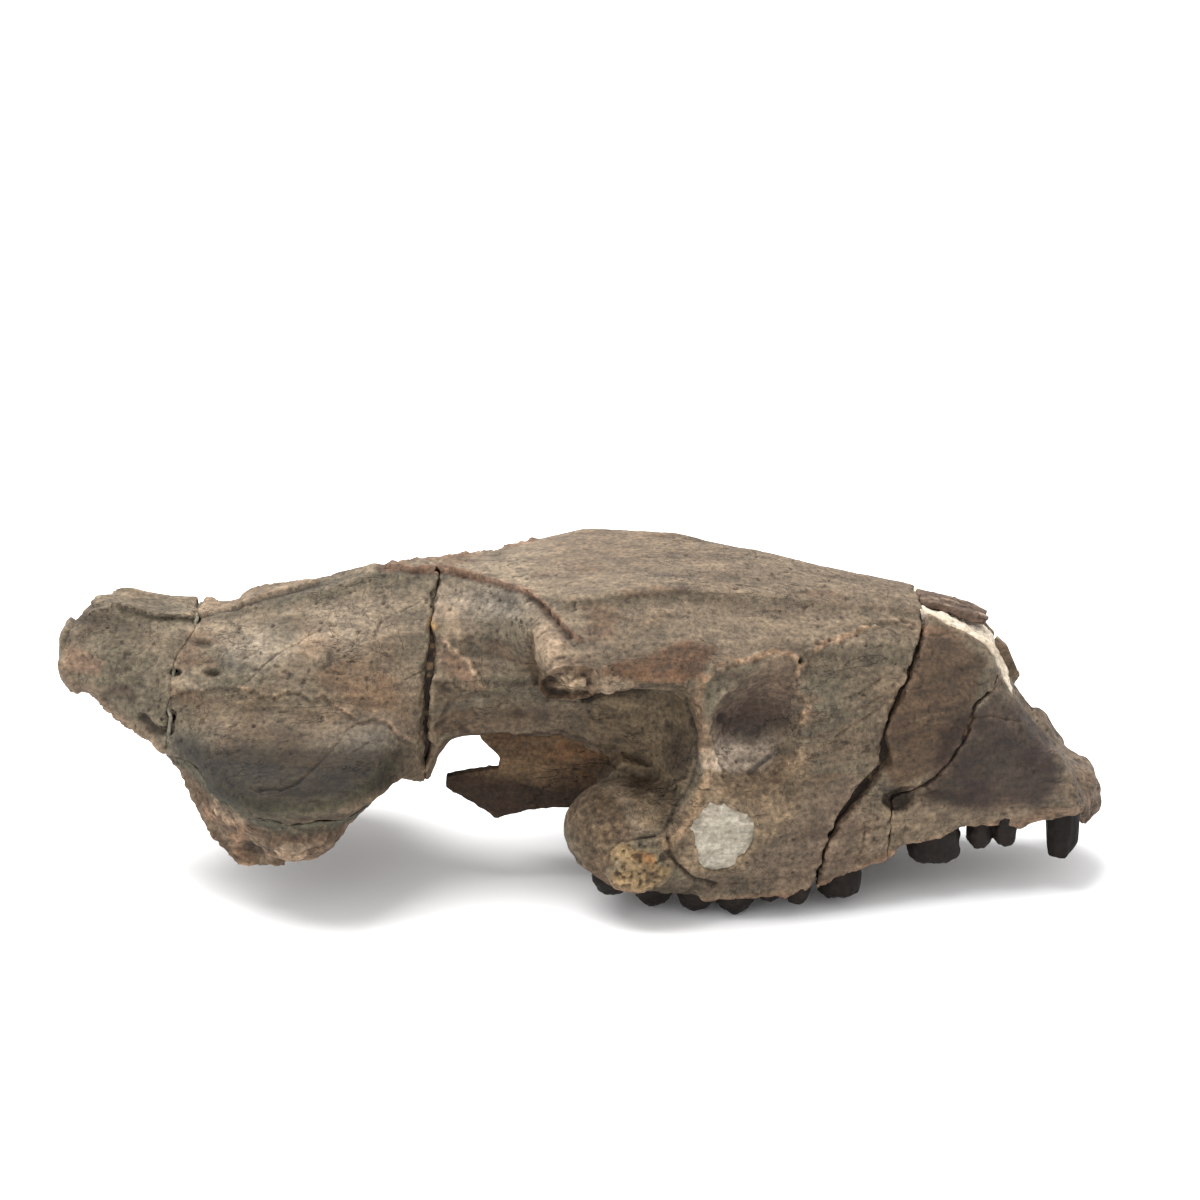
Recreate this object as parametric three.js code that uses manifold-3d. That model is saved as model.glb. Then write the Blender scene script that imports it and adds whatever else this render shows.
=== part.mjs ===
// Fossil oreodont skull without its lower jaw, life size, in millimetres.
// +X points to the snout, +Z up, and the skull's own right side faces -Y. The floor is z = 0.
// The cranium is drawn as a boat is, by a few long lines that give height and half-width along x,
// and is then parted along its real breaks. The smaller bones and the teeth are fused to it.

import * as THREE from 'three';
import { mergeVertices } from 'three/addons/utils/BufferGeometryUtils.js';
import Module from 'manifold-3d';

const wasm = await Module();
wasm.setup();

// Driving dimensions
const REAR_END = -104.6; // rear tip of the nuchal crest
const SNOUT_END = 105.6; // front of the premaxillae
const MID_LENGTH = (REAR_END + SNOUT_END) / 2; // set over x = 0 at the end
const CROWN = 66.2; // height of the forehead over the floor
const ORBIT_HALF = 33; // half-width over the rims of the orbits
const PROCESS_HALF = 37; // half-width over the postorbital processes
const BRAIN_HALF = 22; // half-width of the braincase
const GLENOID_HALF = 36; // half-width over the broken roots of the cheek arches
const MOLAR_HALF = 28.5; // half-width over the molars
const SNOUT_HALF = 16.5; // half-width behind the canines
const NASAL_HALF = 7.6; // half-width of the nasal opening
const BREAK_GAP = 0.5; // width of the real breaks between the main pieces
const FIT_GAP = 0.3; // gap between pieces that touch
const SUNK = 4; // how deep a fused root goes into the bone

const RIGHT = -1;
const LEFT = 1;
const SIDES = [['right', RIGHT], ['left', LEFT]];

// Curves

// A monotone cubic through points [t, value], sorted by t and held level past its ends.
function curveThrough(points) {
  const slope = points.slice(1).map(([t, v], i) => (v - points[i][1]) / (t - points[i][0]));
  const tangent = points.map((_, i) => {
    if (i === 0 || i === points.length - 1) return 0;
    const before = slope[i - 1];
    const after = slope[i];
    return before * after <= 0 ? 0 : 2 * before * after / (before + after);
  });
  return (t) => {
    const last = points.length - 1;
    if (t <= points[0][0]) return points[0][1];
    if (t >= points[last][0]) return points[last][1];
    const i = points.findIndex(([end]) => end > t) - 1;
    const span = points[i + 1][0] - points[i][0];
    const s = (t - points[i][0]) / span;
    const rise = s * s * (3 - 2 * s);
    const ease = span * (s * (1 - s) * (1 - s) * tangent[i] - s * s * (1 - s) * tangent[i + 1]);
    return points[i][1] + rise * (points[i + 1][1] - points[i][1]) + ease;
  };
}

// A line of the skull from points [x, height, half-width].
function rail(points) {
  const height = curveThrough(points.map(([x, z]) => [x, z]));
  const half = curveThrough(points.map(([x, , w]) => [x, w]));
  return (x) => ({ z: height(x), w: half(x) });
}

const lerp = THREE.MathUtils.lerp;

// Lines of the cranium

const crownHeight = curveThrough([
  [REAR_END, 48.6], [-103.8, 52], [-101.5, 53.2], [-97, 57], [-87, 56.2], [-76, 55.2], [-69, 56.2],
  [-66.5, 58.2],
  [-56, 60.6], [-47, 62.6], [-41, 64.6], [-30, 65.2], [-19, 65.4], [0, CROWN], [27, CROWN - 0.2],
  [46.7, 63], [67, 59], [80, 54], [83.6, 46], [87, 37.2], [92, 29.2], [97, 24.6], [100, 22.8],
  [103, 21.2], [SNOUT_END, 16.2],
]);

// Underside at the midline: occiput, brain floor, then the vault of the palate.
const keelHeight = curveThrough([
  [REAR_END, 44.6], [-95, 40.4], [-86, 34], [-78, 26], [-70, 18.4], [-58, 17], [-44, 21], [-34, 28],
  [-26, 32.6], [-10, 32], [8, 28], [18, 20], [24, 14], [45, 13.5], [66, 16], [84, 18.6],
  [98, 17.4], [SNOUT_END, 15],
]);

// Edge of the flat top: parasagittal ridges, temporal lines, forehead, nasals, nasal opening.
const roofLine = rail([
  [REAR_END, 49, 3.4], [-103.8, 51.4, 4], [-101.2, 54.3, 4.6], [-97, 57.6, 4.8], [-92, 58.1, 4.9],
  [-86, 56.8, 5],
  [-76, 56.1, 5],
  [-69, 56.8, 4.5], [-66.5, 58, 4.5], [-56.7, 60, 4.4], [-46.6, 62.8, 4], [-41.4, 64.1, 3],
  [-30.5, 64.7, 3.8], [-22, 64.5, 7], [-16.7, 64.3, 11], [-6.7, 64.5, 19.5], [0.5, 65.5, 22],
  [6, 65.9, 20.5], [18, 65.8, 18], [28, 64, 16], [36, 62.9, 14], [47.5, 60.8, 12],
  [58.3, 58.9, 10], [67.3, 57.2, 8.8], [73, 53.5, 9.3], [78, 50.6, 9.5], [81, 47.6, 9.4],
  [83.4, 43.4, 8.9], [86, 40.2, 8], [89.4, 35.2, 6.3], [94, 30, 4.4], [97.1, 25.6, 3.4],
  [99.7, 23.2, 3.4], [103, 22.2, 4], [104.9, 19.6, 4], [SNOUT_END, 16.4, 2.8],
]);

// Upper flank: under the crest, then the postorbital process, the orbit's rim and the cheek.
const shoulderLine = rail([
  [REAR_END, 48.2, 4.4], [-103.8, 50, 5.4], [-97, 53.6, 6.6], [-84, 52.4, 8], [-66, 51, 13.5],
  [-50, 51, 16],
  [-36, 53, 14], [-26, 56, 12], [-17, 57, 14.4], [-9, 57.4, 25], [-5, 55.4, 33.6],
  [-3, 54, PROCESS_HALF - 1], [0, 52.8, PROCESS_HALF], [3, 52.2, PROCESS_HALF - 1],
  [12, 51.6, ORBIT_HALF], [24, 52, ORBIT_HALF - 1],
  [34, 53.2, 28.4], [46, 54.8, 22.6], [58, 54, 17.6], [67, 51.4, 14.4], [76, 47.4, 12.4],
  [82, 40.4, 11.8], [88, 34.6, 10.6], [94, 27.6, 9], [99, 22.4, 8], [103, 19.4, 7],
  [SNOUT_END, 16, 4],
]);

// Middle: braincase, wall of the orbit, bar before the orbit, face.
const wallLine = rail([
  [REAR_END, 47.4, 4.8], [-103.8, 47, 6.4], [-97, 47.4, 8], [-86, 43, 11.4], [-74, 41, 16.8],
  [-58, 40, BRAIN_HALF],
  [-44, 40.4, BRAIN_HALF - 1], [-32, 43.4, 17.8], [-22, 45.4, 14.6], [-8, 45, 13.6], [8, 44, 14],
  [17, 43.4, 17], [21.4, 43, 24.6], [24.4, 42.6, 30.6], [30, 42, 30.6], [44, 41, 26.8],
  [60, 37, 21.4], [75, 33, 18], [88, 27, SNOUT_HALF - 1], [97, 21, 13], [102, 17.6, 10.2],
  [SNOUT_END, 15.4, 4.4],
]);

// Lower flank: rim of the glenoid region, sphenoid, malar, then over the tooth roots.
const flankLine = rail([
  [REAR_END, 45.8, 4.6], [-103.8, 43.4, 6.6], [-97, 42.6, 8.6], [-86, 36.4, 13], [-78, 31.4, 18.6],
  [-69.2, 28.7, 29.4],
  [-62, 27.5, GLENOID_HALF - 1.4], [-54, 26.6, GLENOID_HALF], [-45.6, 26.2, GLENOID_HALF - 1.4],
  [-40, 27.4, 30.6], [-36, 28.9, 24.6], [-31, 31.6, 17.6], [-25, 33.8, 13.2], [-20, 34.4, 12.4],
  [-8, 34, 12.4], [6, 32, 13.4], [13, 28.6, 17], [17.6, 26, 25.4], [20.4, 24.4, 30.4],
  [26, 22, 31.4], [34, 19.4, 31], [48, 15.4, 26.8], [62, 17, 21.8], [78, 20, 18],
  [90, 21, SNOUT_HALF], [95.4, 20, 15.6], [99, 18.8, 13.4], [102.2, 16.4, 10.8], [SNOUT_END, 15, 4.2],
]);

// Lower edge: nuchal crest, base of the braincase, sphenoid, edge of the tooth sockets.
const footLine = rail([
  [REAR_END, 44.2, 4], [-103.8, 41.4, 5.4], [-102, 40, 6.2], [-98, 39.6, 7.4], [-94, 36.4, 9],
  [-86, 31.8, 12.6], [-80.6, 27.8, 16], [-77.2, 21.8, 19.4], [-71.8, 13, 21.6], [-65, 8, 22.4],
  [-61.6, 7.2, 22.6],
  [-57.8, 11.2, 24], [-54.3, 16, 27], [-49.7, 17.2, 28], [-44.9, 20.8, 27.4], [-41, 24, 25],
  [-36.6, 26.8, 19.6], [-31.4, 23.4, 14.6], [-27.3, 30, 11], [-23, 32.2, 9.6], [-8, 31.6, 9.6],
  [6, 27.6, 10.6], [13, 20, 14], [17.6, 12, 20], [20.4, 7.4, 26], [24.4, 4.4, MOLAR_HALF],
  [31.2, 4.8, MOLAR_HALF], [39, 4.6, 27.6], [46, 6.1, 26.2], [54, 8.9, 23.8], [60.2, 10.2, 22],
  [64, 12.9, 20.8], [70, 13.4, 19.2], [78, 15.6, 17.2], [84, 14.9, 16.2], [88, 14.4, 15.6],
  [91, 15.8, 15], [94, 16.8, 14.2], [98.6, 16.6, 12.4],
  [101.4, 12.6, 9.8], [104.6, 14.2, 5.4], [SNOUT_END, 14.8, 3],
]);

const sideRails = [roofLine, shoulderLine, wallLine, flankLine, footLine];

// The pit before the orbit: depth in mm at a point of the cheek.
const pit = { x: 33.6, z: 40, halfLength: 10.4, halfHeight: 13.6, depth: 8.6, rearShift: 3 };
function pitDepth(x, z) {
  const lean = (z - pit.z) * 0.12;
  const r = Math.hypot((x - pit.x - lean) / pit.halfLength, (z - pit.z) / pit.halfHeight);
  if (r >= 1) return 0;
  const forward = 1 - pit.rearShift * (x - pit.x) / (pit.halfLength * 10);
  return pit.depth * forward * (1 - r * r) ** 1.4;
}

// Half-width of the side at height z of the section at x.
function sideCurve(x) {
  const levels = sideRails.map((line) => line(x)).map(({ z, w }) => [z, w]).reverse();
  return curveThrough(levels);
}

// Lofted cranium

// Points in each stretch of half a section: roof, four stretches of the side, underside.
const ROOF_STEPS = 3;
const SIDE_STEPS = [3, 4, 4, 3];
const UNDER_STEPS = 3;
const VAULT_POWER = 2.4; // how flat the underside is in its middle
const FLAT_POWER = 2; // how flat the roof is

function halfSection(x) {
  const roof = roofLine(x);
  const foot = footLine(x);
  const side = sideCurve(x);
  const points = [];
  for (let i = 0; i <= ROOF_STEPS; i++) {
    const share = i / ROOF_STEPS;
    points.push([roof.w * share, lerp(crownHeight(x), roof.z, share ** FLAT_POWER)]);
  }
  SIDE_STEPS.forEach((steps, k) => {
    const top = sideRails[k](x).z;
    const bottom = sideRails[k + 1](x).z;
    for (let i = 1; i <= steps; i++) {
      const z = lerp(top, bottom, i / steps);
      points.push([side(z) - pitDepth(x, z), z]);
    }
  });
  for (let i = 1; i <= UNDER_STEPS; i++) {
    const share = 1 - i / UNDER_STEPS;
    points.push([foot.w * share, lerp(keelHeight(x), foot.z, share ** VAULT_POWER)]);
  }
  return points;
}

// Stations along x: close together where the shape turns quickly.
function stations() {
  const stretches = [
    [REAR_END, -103.8, 1], [-103.8, -92, 4], [-92, -80, 3], [-80, -36, 12], [-36, -12, 6],
    [-12, 6, 8], [6, 14, 2], [14, 26, 6], [26, 46, 8], [46, 78, 7], [78, 92, 6], [92, 102, 4],
    [102, SNOUT_END, 3],
  ];
  const list = [REAR_END];
  for (const [from, to, steps] of stretches)
    for (let i = 1; i <= steps; i++) list.push(lerp(from, to, i / steps));
  return list;
}

const apart = (points, i, j) => Math.hypot(...points[i].map((v, k) => v - points[j][k]));

// A closed body through rings of equal length, each an array of [x, y, z], with fanned ends.
function lofted(rings) {
  const count = rings[0].length;
  const middle = (ring) => [0, 1, 2].map((k) => ring.reduce((sum, p) => sum + p[k], 0) / count);
  const points = [...rings.flat(), middle(rings[0]), middle(rings[rings.length - 1])];
  const positions = points.flat();
  const index = [];
  for (let r = 0; r + 1 < rings.length; r++)
    for (let i = 0; i < count; i++) {
      const a = r * count + i;
      const b = r * count + (i + 1) % count;
      const [c, d] = [a + count, b + count];
      // Each four-sided patch folds along its shorter diagonal.
      if (apart(points, b, c) <= apart(points, a, d)) index.push(a, b, c, b, d, c);
      else index.push(a, b, d, a, d, c);
    }
  const rearCentre = rings.length * count;
  const lastRing = rearCentre - count;
  for (let i = 0; i < count; i++) {
    const next = (i + 1) % count;
    index.push(rearCentre, next, i, rearCentre + 1, lastRing + i, lastRing + next);
  }
  const geometry = new THREE.BufferGeometry();
  geometry.setAttribute('position', new THREE.Float32BufferAttribute(positions, 3));
  geometry.setIndex(index);
  return geometry;
}

function craniumGeometry() {
  const rings = stations().map((x) => {
    const half = halfSection(x);
    const right = half.map(([w, z]) => [x, RIGHT * w, z]);
    const left = half.slice(1, -1).reverse().map(([w, z]) => [x, LEFT * w, z]);
    return [...right, ...left];
  });
  return lofted(rings);
}

// Solids from three.js shapes

function solid(geometry) {
  const bare = geometry.index ? geometry.toNonIndexed() : geometry.clone();
  bare.deleteAttribute('normal');
  bare.deleteAttribute('uv');
  const merged = mergeVertices(bare, 1e-4);
  const made = new wasm.Manifold(new wasm.Mesh({
    numProp: 3,
    vertProperties: merged.attributes.position.array,
    triVerts: new Uint32Array(merged.index.array),
  }));
  if (made.volume() < 0) throw new Error('a shape is inside out');
  return made;
}

function ellipsoid(centre, radii, turn = [0, 0, 0], sides = 16) {
  const ball = new THREE.SphereGeometry(1, sides, Math.round(sides * 0.6));
  ball.scale(...radii);
  ball.rotateX(turn[0]).rotateY(turn[1]).rotateZ(turn[2]);
  return solid(ball.translate(...centre));
}

// A round rod from one point to another with its own radius at each end.
function rod(from, to, fromRadius, toRadius, sides = 8) {
  const start = new THREE.Vector3(...from);
  const end = new THREE.Vector3(...to);
  const along = end.clone().sub(start);
  const shape = new THREE.CylinderGeometry(toRadius, fromRadius, along.length(), sides);
  const up = new THREE.Vector3(0, 1, 0);
  shape.applyQuaternion(new THREE.Quaternion().setFromUnitVectors(up, along.normalize()));
  const centre = start.add(end).multiplyScalar(0.5);
  return solid(shape.translate(centre.x, centre.y, centre.z));
}

// A plate whose outline is drawn in the side view as [x, z], between two values of y.
function sidePlate(outline, fromY, toY) {
  const shape = new THREE.Shape(outline.map(([x, z]) => new THREE.Vector2(x, z)));
  const thickness = Math.abs(toY - fromY);
  const plate = new THREE.ExtrudeGeometry(shape, { depth: thickness, bevelEnabled: false });
  plate.rotateX(Math.PI / 2);
  return solid(plate.translate(0, Math.max(fromY, toY), 0));
}

const union = (list) => list.reduce((all, one) => all.add(one));
const cutFrom = (body, cutters) => cutters.reduce((left, one) => left.subtract(one), body);

// The largest closed surface of a body.
function wholePiece(body) {
  return body.decompose().sort((a, b) => b.volume() - a.volume())[0];
}

// Hollows of the cranium

function hollows() {
  const occiput = ellipsoid([-99, 0, 28], [14, 8, 13], [0, 0.25, 0]);
  const notch = ellipsoid([-111, 0, 46], [10, 3, 8], [0, 0.2, 0], 12);
  const foramenMagnum = rod([-84, 0, 29], [-66, 0, 27], 6, 5, 10);
  return [occiput, notch, foramenMagnum];
}

// Bones fused to the cranium

const FLOOR_FLAT = 2.6; // radius of the flat that the left process stands on

function rearProcesses() {
  const leftFoot = rod([-61.4, LEFT * 21.4, 14], [-61.8, LEFT * 20, -0.4], 6.4, FLOOR_FLAT, 12);
  const knobs = SIDES.map(([, side]) => ellipsoid([-56, side * 27, 20], [9, 7.4, 6.6], [0, 0, 0], 12));
  return [leftFoot, ...knobs];
}

function condyles() {
  return SIDES.map(([, side]) => ellipsoid([-69, side * 8, 19], [6.6, 6, 8], [0, 0.4, 0], 12));
}

// The rear of each upper jaw bulges behind the eye over the last molar, and ends outwards in the
// broken root of the cheek arch.
function malarBulges() {
  return SIDES.flatMap(([, side]) => [
    ellipsoid([10.4, side * 23, 16.6], [14, 11.4, 10.6], [0, 0.16, 0], 18),
    rod([15, side * 25, 16], [10.6, side * 35.4, 14.6], 10, 6.2, 12),
    ellipsoid([20, side * 22, 15], [10, 10.4, 10.6], [0, 0, 0], 12),
  ]);
}

function palateBack() {
  const outline = [[4, 18], [7, 13], [24, 12.6], [30, 15], [28, 26], [8, 30], [3, 24]];
  return sidePlate(outline, -19, 19);
}

// Teeth

// Cheek teeth from the last molar forward: middle x, length, width across, height of the tip,
// height of the socket edge, half-width of the outer face, number of cusps along the row, and how
// much shorter the rear cusp is.
const cheekTeeth = [
  { x: 10.2, length: 16, across: 14, tip: 1.6, socket: 7, outer: 28, cusps: 2, rear: 2.6 },
  { x: 26.4, length: 15.4, across: 14.6, tip: 0, socket: 5, outer: MOLAR_HALF, cusps: 2, rear: 0.9 },
  { x: 39.6, length: 11, across: 13, tip: 1.9, socket: 4.6, outer: 27.2, cusps: 2, rear: 0.6 },
  { x: 51.2, length: 8.4, across: 10.4, tip: 1.9, socket: 7.6, outer: 24.4, cusps: 1, rear: 0 },
  { x: 70.4, length: 10, across: 7.4, tip: 7.3, socket: 13.6, outer: 19, cusps: 1, rear: 0 },
  { x: 82.2, length: 9.9, across: 6.4, tip: 10.4, socket: 16.4, outer: 16.6, cusps: 2, rear: -0.6 },
];
const MOLARS = 3; // the first ones of that list have an inner and an outer row of cusps
const CUSP_SIDES = 7;
// Half-width of a cusp from its root to its worn tip, as shares of height and of half-width.
const pointedCusp = [[0, 0.8], [0.5, 1], [0.82, 0.72], [1, 0.36]];
const bluntCusp = [[0, 0.8], [0.5, 1], [0.84, 0.94], [1, 0.66]];

// One worn cusp, oval along the row, its root sunk in the socket.
function cusp(x, y, tip, socket, length, across, shape) {
  const height = socket + SUNK - tip;
  const profile = shape.map(([rise, half]) => new THREE.Vector2(half / 2, -rise * height));
  const closed = [new THREE.Vector2(0, 0), ...profile, new THREE.Vector2(0, -height)];
  const crown = new THREE.LatheGeometry(closed.reverse(), CUSP_SIDES);
  crown.rotateX(Math.PI / 2).scale(length, across, 1);
  return solid(crown.translate(x, y, socket + SUNK));
}

function toothRow(side) {
  return cheekTeeth.flatMap(({ x, length, across, tip, socket, outer, cusps, rear }, n) => {
    const step = length / cusps;
    const rows = n < MOLARS ? [0.27, 0.73] : [0.5];
    const wide = n < MOLARS ? across * 0.56 : across;
    return Array.from({ length: cusps }, (_, k) => rows.map((share, row) => {
      const cuspX = x + (k - (cusps - 1) / 2) * step;
      const worn = row * 1.4 + (k === 0 ? rear : 0);
      const shape = n < MOLARS ? pointedCusp : bluntCusp;
      return cusp(cuspX, side * (outer - across * share), tip + worn, socket, step * 1.08, wide, shape);
    })).flat();
  });
}

// Broken canine: an oval spike leaning forward, with a slanting break that is higher in front.
const canine = { x: 96.3, across: 6.2, along: 7.2, half: 12.8, tip: 7.6, socket: 17, lean: 0.12 };
const canineBreak = [[96.4, 5], [110, 5], [110, 16], [99.6, 10.6], [97.2, 7.8]];
function canineTooth(side) {
  const height = canine.socket + SUNK - canine.tip + 1;
  const spike = new THREE.CylinderGeometry(0.5, 0.36, height, 12);
  spike.rotateX(Math.PI / 2).scale(canine.along, canine.across, 1).rotateY(-canine.lean);
  const middle = canine.tip - 1 + height / 2;
  const body = solid(spike.translate(canine.x, side * canine.half, middle));
  return body.subtract(sidePlate(canineBreak, -30, 30));
}

function incisorStumps() {
  return [3, 7].flatMap((half) => SIDES.map(([, side]) =>
    rod([102.4 - half * 0.3, side * half, 18], [103 - half * 0.3, side * half, 12.6], 2.4, 1.7, 7)));
}

// Thin wings of the pterygoids behind the palate

const wingOutline = [
  [-27.2, 23.2], [-27.2, 21.2], [-22.6, 17.8], [-17.6, 14.5], [-10.5, 16.1], [-2.8, 16.7], [7, 17],
  [9, 24], [5, 30], [-8, 34], [-21.2, 34], [-20.2, 31.2], [-16.6, 27.2], [-16.8, 25], [-24.3, 24.1],
];
const WING_THICK = 2.8;
const WING_HALF = 7.4;

const LEFT_WING_END = -15; // the left wing has lost its rear half

function pterygoidWing(side) {
  const plate = sidePlate(wingOutline, side * WING_HALF, side * (WING_HALF + WING_THICK));
  const end = LEFT_WING_END;
  const lost = sidePlate([[-40, 0], [end, 0], [end + 2, 24], [end - 3, 27], [end - 2, 40],
  [-40, 40]], 0, 60);
  return side === LEFT ? plate.subtract(lost) : plate;
}

// Nasal region

// Broken edge of the nasal bones, and the pale matrix that fills the nasal cavity before it.
const NASAL_BREAK = 67.4;
const matrixTop = [[74, 54.5], [80, 51.7], [83, 47.6], [84.6, 42.4], [86, 39.4]];
const matrixFloor = [[84.6, 36.6], [NASAL_BREAK, 46]];

function nasalWindow() {
  const outline = [[NASAL_BREAK, 75], [86, 75], ...matrixTop.slice(-1), ...matrixFloor];
  return sidePlate(outline.reverse(), -NASAL_HALF, NASAL_HALF);
}

function nasalMatrix() {
  const outline = [
    [NASAL_BREAK + FIT_GAP, 57], ...matrixTop.map(([x, z]) => [x - FIT_GAP, z]), [84.2, 37.2],
    [NASAL_BREAK + FIT_GAP, 46.4],
  ];
  return sidePlate(outline.reverse(), -NASAL_HALF + FIT_GAP, NASAL_HALF - FIT_GAP);
}

// The left rim of the nasal opening reaches further forward than the right one.
const leftRim = [
  [74, 54.6], [80, 51.8], [83, 48.2], [85, 46], [86.6, 44.6], [87.6, 42.4], [89.4, 38.2], [86, 34],
  [76, 44],
];

function leftNasalRim() {
  return sidePlate([...leftRim].reverse(), LEFT * NASAL_HALF, LEFT * (NASAL_HALF + 2.2));
}

// The surviving strip of nasal bone that lies on the matrix.
function nasalStrip() {
  const outline = [[67.7, 59.1], [67.7, 57.4], [74, 55.3], [80.4, 52.6], [81, 54.2], [74, 56.8]];
  return sidePlate(outline, -3, 3.6);
}

// Pale matrix in the cheek below the pit: an uneven oval in the side view.
const patch = { x: 27.4, z: 19, halfLength: 5.9, halfHeight: 7.2, wobble: 0.09, sides: 14 };
const PATCH_SUNK = 0.9; // how far its face lies behind the bone around it

function patchOutline(grow) {
  return Array.from({ length: patch.sides }, (_, i) => {
    const turn = 2 * Math.PI * i / patch.sides;
    const r = 1 + patch.wobble * Math.sin(3 * turn + 1) + grow / patch.halfLength;
    const x = patch.x + patch.halfLength * r * Math.cos(turn);
    return [x, patch.z + patch.halfHeight * r * Math.sin(turn)];
  });
}

// Breaks

// A zigzag break drawn in the side view, cut through the whole skull.
function breakCut(line, width = BREAK_GAP) {
  const front = line.map(([x, z]) => [x + width / 2, z]);
  const back = [...line].reverse().map(([x, z]) => [x - width / 2, z]);
  return sidePlate([...back, ...front].reverse(), -60, 60);
}

const nuchalBreak = [
  [-76, 80], [-76.2, 56.5], [-77.5, 52], [-80.1, 49.3], [-81.3, 43.3], [-81.8, 35.3], [-83, 29],
  [-84, 0],
];
const braincaseBreak = [
  [-28.4, 80], [-28.8, 62], [-30, 56.6], [-29.6, 51.1], [-30.3, 42.7], [-30.8, 32.5], [-31.6, 24],
  [-32, 0],
];
const faceBreak = [
  [70, 80], [67.7, 56.2], [66.1, 51.7], [64, 46.6], [60, 40.4], [58.9, 35.5], [59.3, 30.6],
  [55.6, 26.8], [51.8, 21.9], [47.9, 15.9], [47, 9.9], [45.6, 6], [45.6, -10],
];
const snoutBreak = [
  [86, 50], [81.8, 42.6], [77.2, 40.2], [76.4, 37], [73.9, 31.4], [69.9, 26.9], [66.5, 24.5],
  [61.4, 22.4], [60.6, 15], [61, 0],
];

// The broken root of each cheek arch hangs below the rim of the braincase's side.
const archRootTop = [[-80, 30.4], [-69, 25.4], [-62, 24.2], [-54, 23.4], [-45, 23.2], [-36, 26]];
const ARCH_ROOT_HALF = 13; // its inner face

function archRootRegion(side, gap) {
  const outline = [[-80, -5], ...archRootTop.map(([x, z]) => [x, z + gap]), [-36, -5]];
  const inner = side * (ARCH_ROOT_HALF - gap);
  return sidePlate(outline.reverse(), inner, side * 60);
}

// Assembly

const bone = new THREE.MeshStandardMaterial({ color: 0x7d7061, roughness: 0.82, metalness: 0 });
const roughBone = new THREE.MeshStandardMaterial({ color: 0x6b5a49, roughness: 0.9, metalness: 0 });
const snoutBone = new THREE.MeshStandardMaterial({ color: 0x5d5148, roughness: 0.8, metalness: 0 });
const matrixRock = new THREE.MeshStandardMaterial({ color: 0xc9bfae, roughness: 0.95, metalness: 0 });

function meshOf(name, body, material) {
  const data = wholePiece(body).translate([-MID_LENGTH, 0, 0]).getMesh();
  const geometry = new THREE.BufferGeometry();
  geometry.setAttribute('position', new THREE.BufferAttribute(data.vertProperties, 3));
  geometry.setIndex(new THREE.BufferAttribute(data.triVerts, 1));
  const mesh = new THREE.Mesh(geometry, material);
  mesh.name = name;
  return mesh;
}

function buildSkull() {
  const shell = cutFrom(solid(craniumGeometry()), hollows());
  const whole = union([
    shell, ...rearProcesses(), ...condyles(), ...malarBulges(), palateBack(), leftNasalRim(),
    ...incisorStumps(),
    ...SIDES.flatMap(([, side]) => [...toothRow(side), canineTooth(side)]),
  ]);

  const belowFloor = sidePlate([[-120, -20], [120, -20], [120, 0], [-120, 0]], -60, 60);
  const patchHole = sidePlate(patchOutline(0).reverse(), RIGHT * 24, RIGHT * 50);
  const patchSolid = sidePlate(patchOutline(-FIT_GAP).reverse(), RIGHT * (24 + FIT_GAP), RIGHT * 50);
  const patchRock = whole.translate([0, PATCH_SUNK, 0]).intersect(patchSolid);
  const bones = cutFrom(whole, [belowFloor, nasalWindow(), patchHole]);

  const breaks = [
    breakCut(nuchalBreak), breakCut(braincaseBreak), breakCut(faceBreak), breakCut(snoutBreak, FIT_GAP),
  ];
  const parted = cutFrom(bones, breaks).decompose().sort((a, b) => b.volume() - a.volume());
  const mainNames = ['nuchal_crest', 'braincase', 'orbits_and_cheeks', 'muzzle', 'snout_tip'];
  const middleX = (body) => body.boundingBox().min[0] + body.boundingBox().max[0];
  const main = parted.slice(0, mainNames.length).sort((a, b) => middleX(a) - middleX(b));
  const [nuchal, brain, face, muzzle, snout] = main;

  const list = [
    ['nuchal_crest', nuchal, bone],
    ['braincase', cutFrom(brain, SIDES.map(([, side]) => archRootRegion(side, FIT_GAP))), bone],
    ['orbits_and_cheeks', face, bone],
    ['muzzle', muzzle, bone],
    ['snout_tip', snout, snoutBone],
    ['nasal_matrix', nasalMatrix(), matrixRock],
    ['nasal_strip', nasalStrip(), snoutBone],
    ['cheek_matrix', patchRock, matrixRock],
  ];
  for (const [word, side] of SIDES) {
    list.push(['arch_root_' + word, brain.intersect(archRootRegion(side, 0)), roughBone]);
  }
  for (const [word, side] of SIDES) {
    const around = [[0, 0, 0], [0, 0, -FIT_GAP], [-FIT_GAP, 0, 0], [0, FIT_GAP, 0], [0, -FIT_GAP, 0]];
    const wing = cutFrom(pterygoidWing(side), around.map((by) => face.translate(by)));
    list.push(['pterygoid_wing_' + word, wing, roughBone]);
  }
  const skull = new THREE.Group();
  skull.name = 'skull';
  for (const [name, body, material] of list) skull.add(meshOf(name, body, material));
  return skull;
}

export default buildSkull();
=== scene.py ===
"""Looks of the fossil oreodont skull: one finely meshed surface for each node, with its breaks, pits,
sutures and colours, under soft studio light. Lengths are in millimetres until a mesh is made."""
import math

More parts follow.
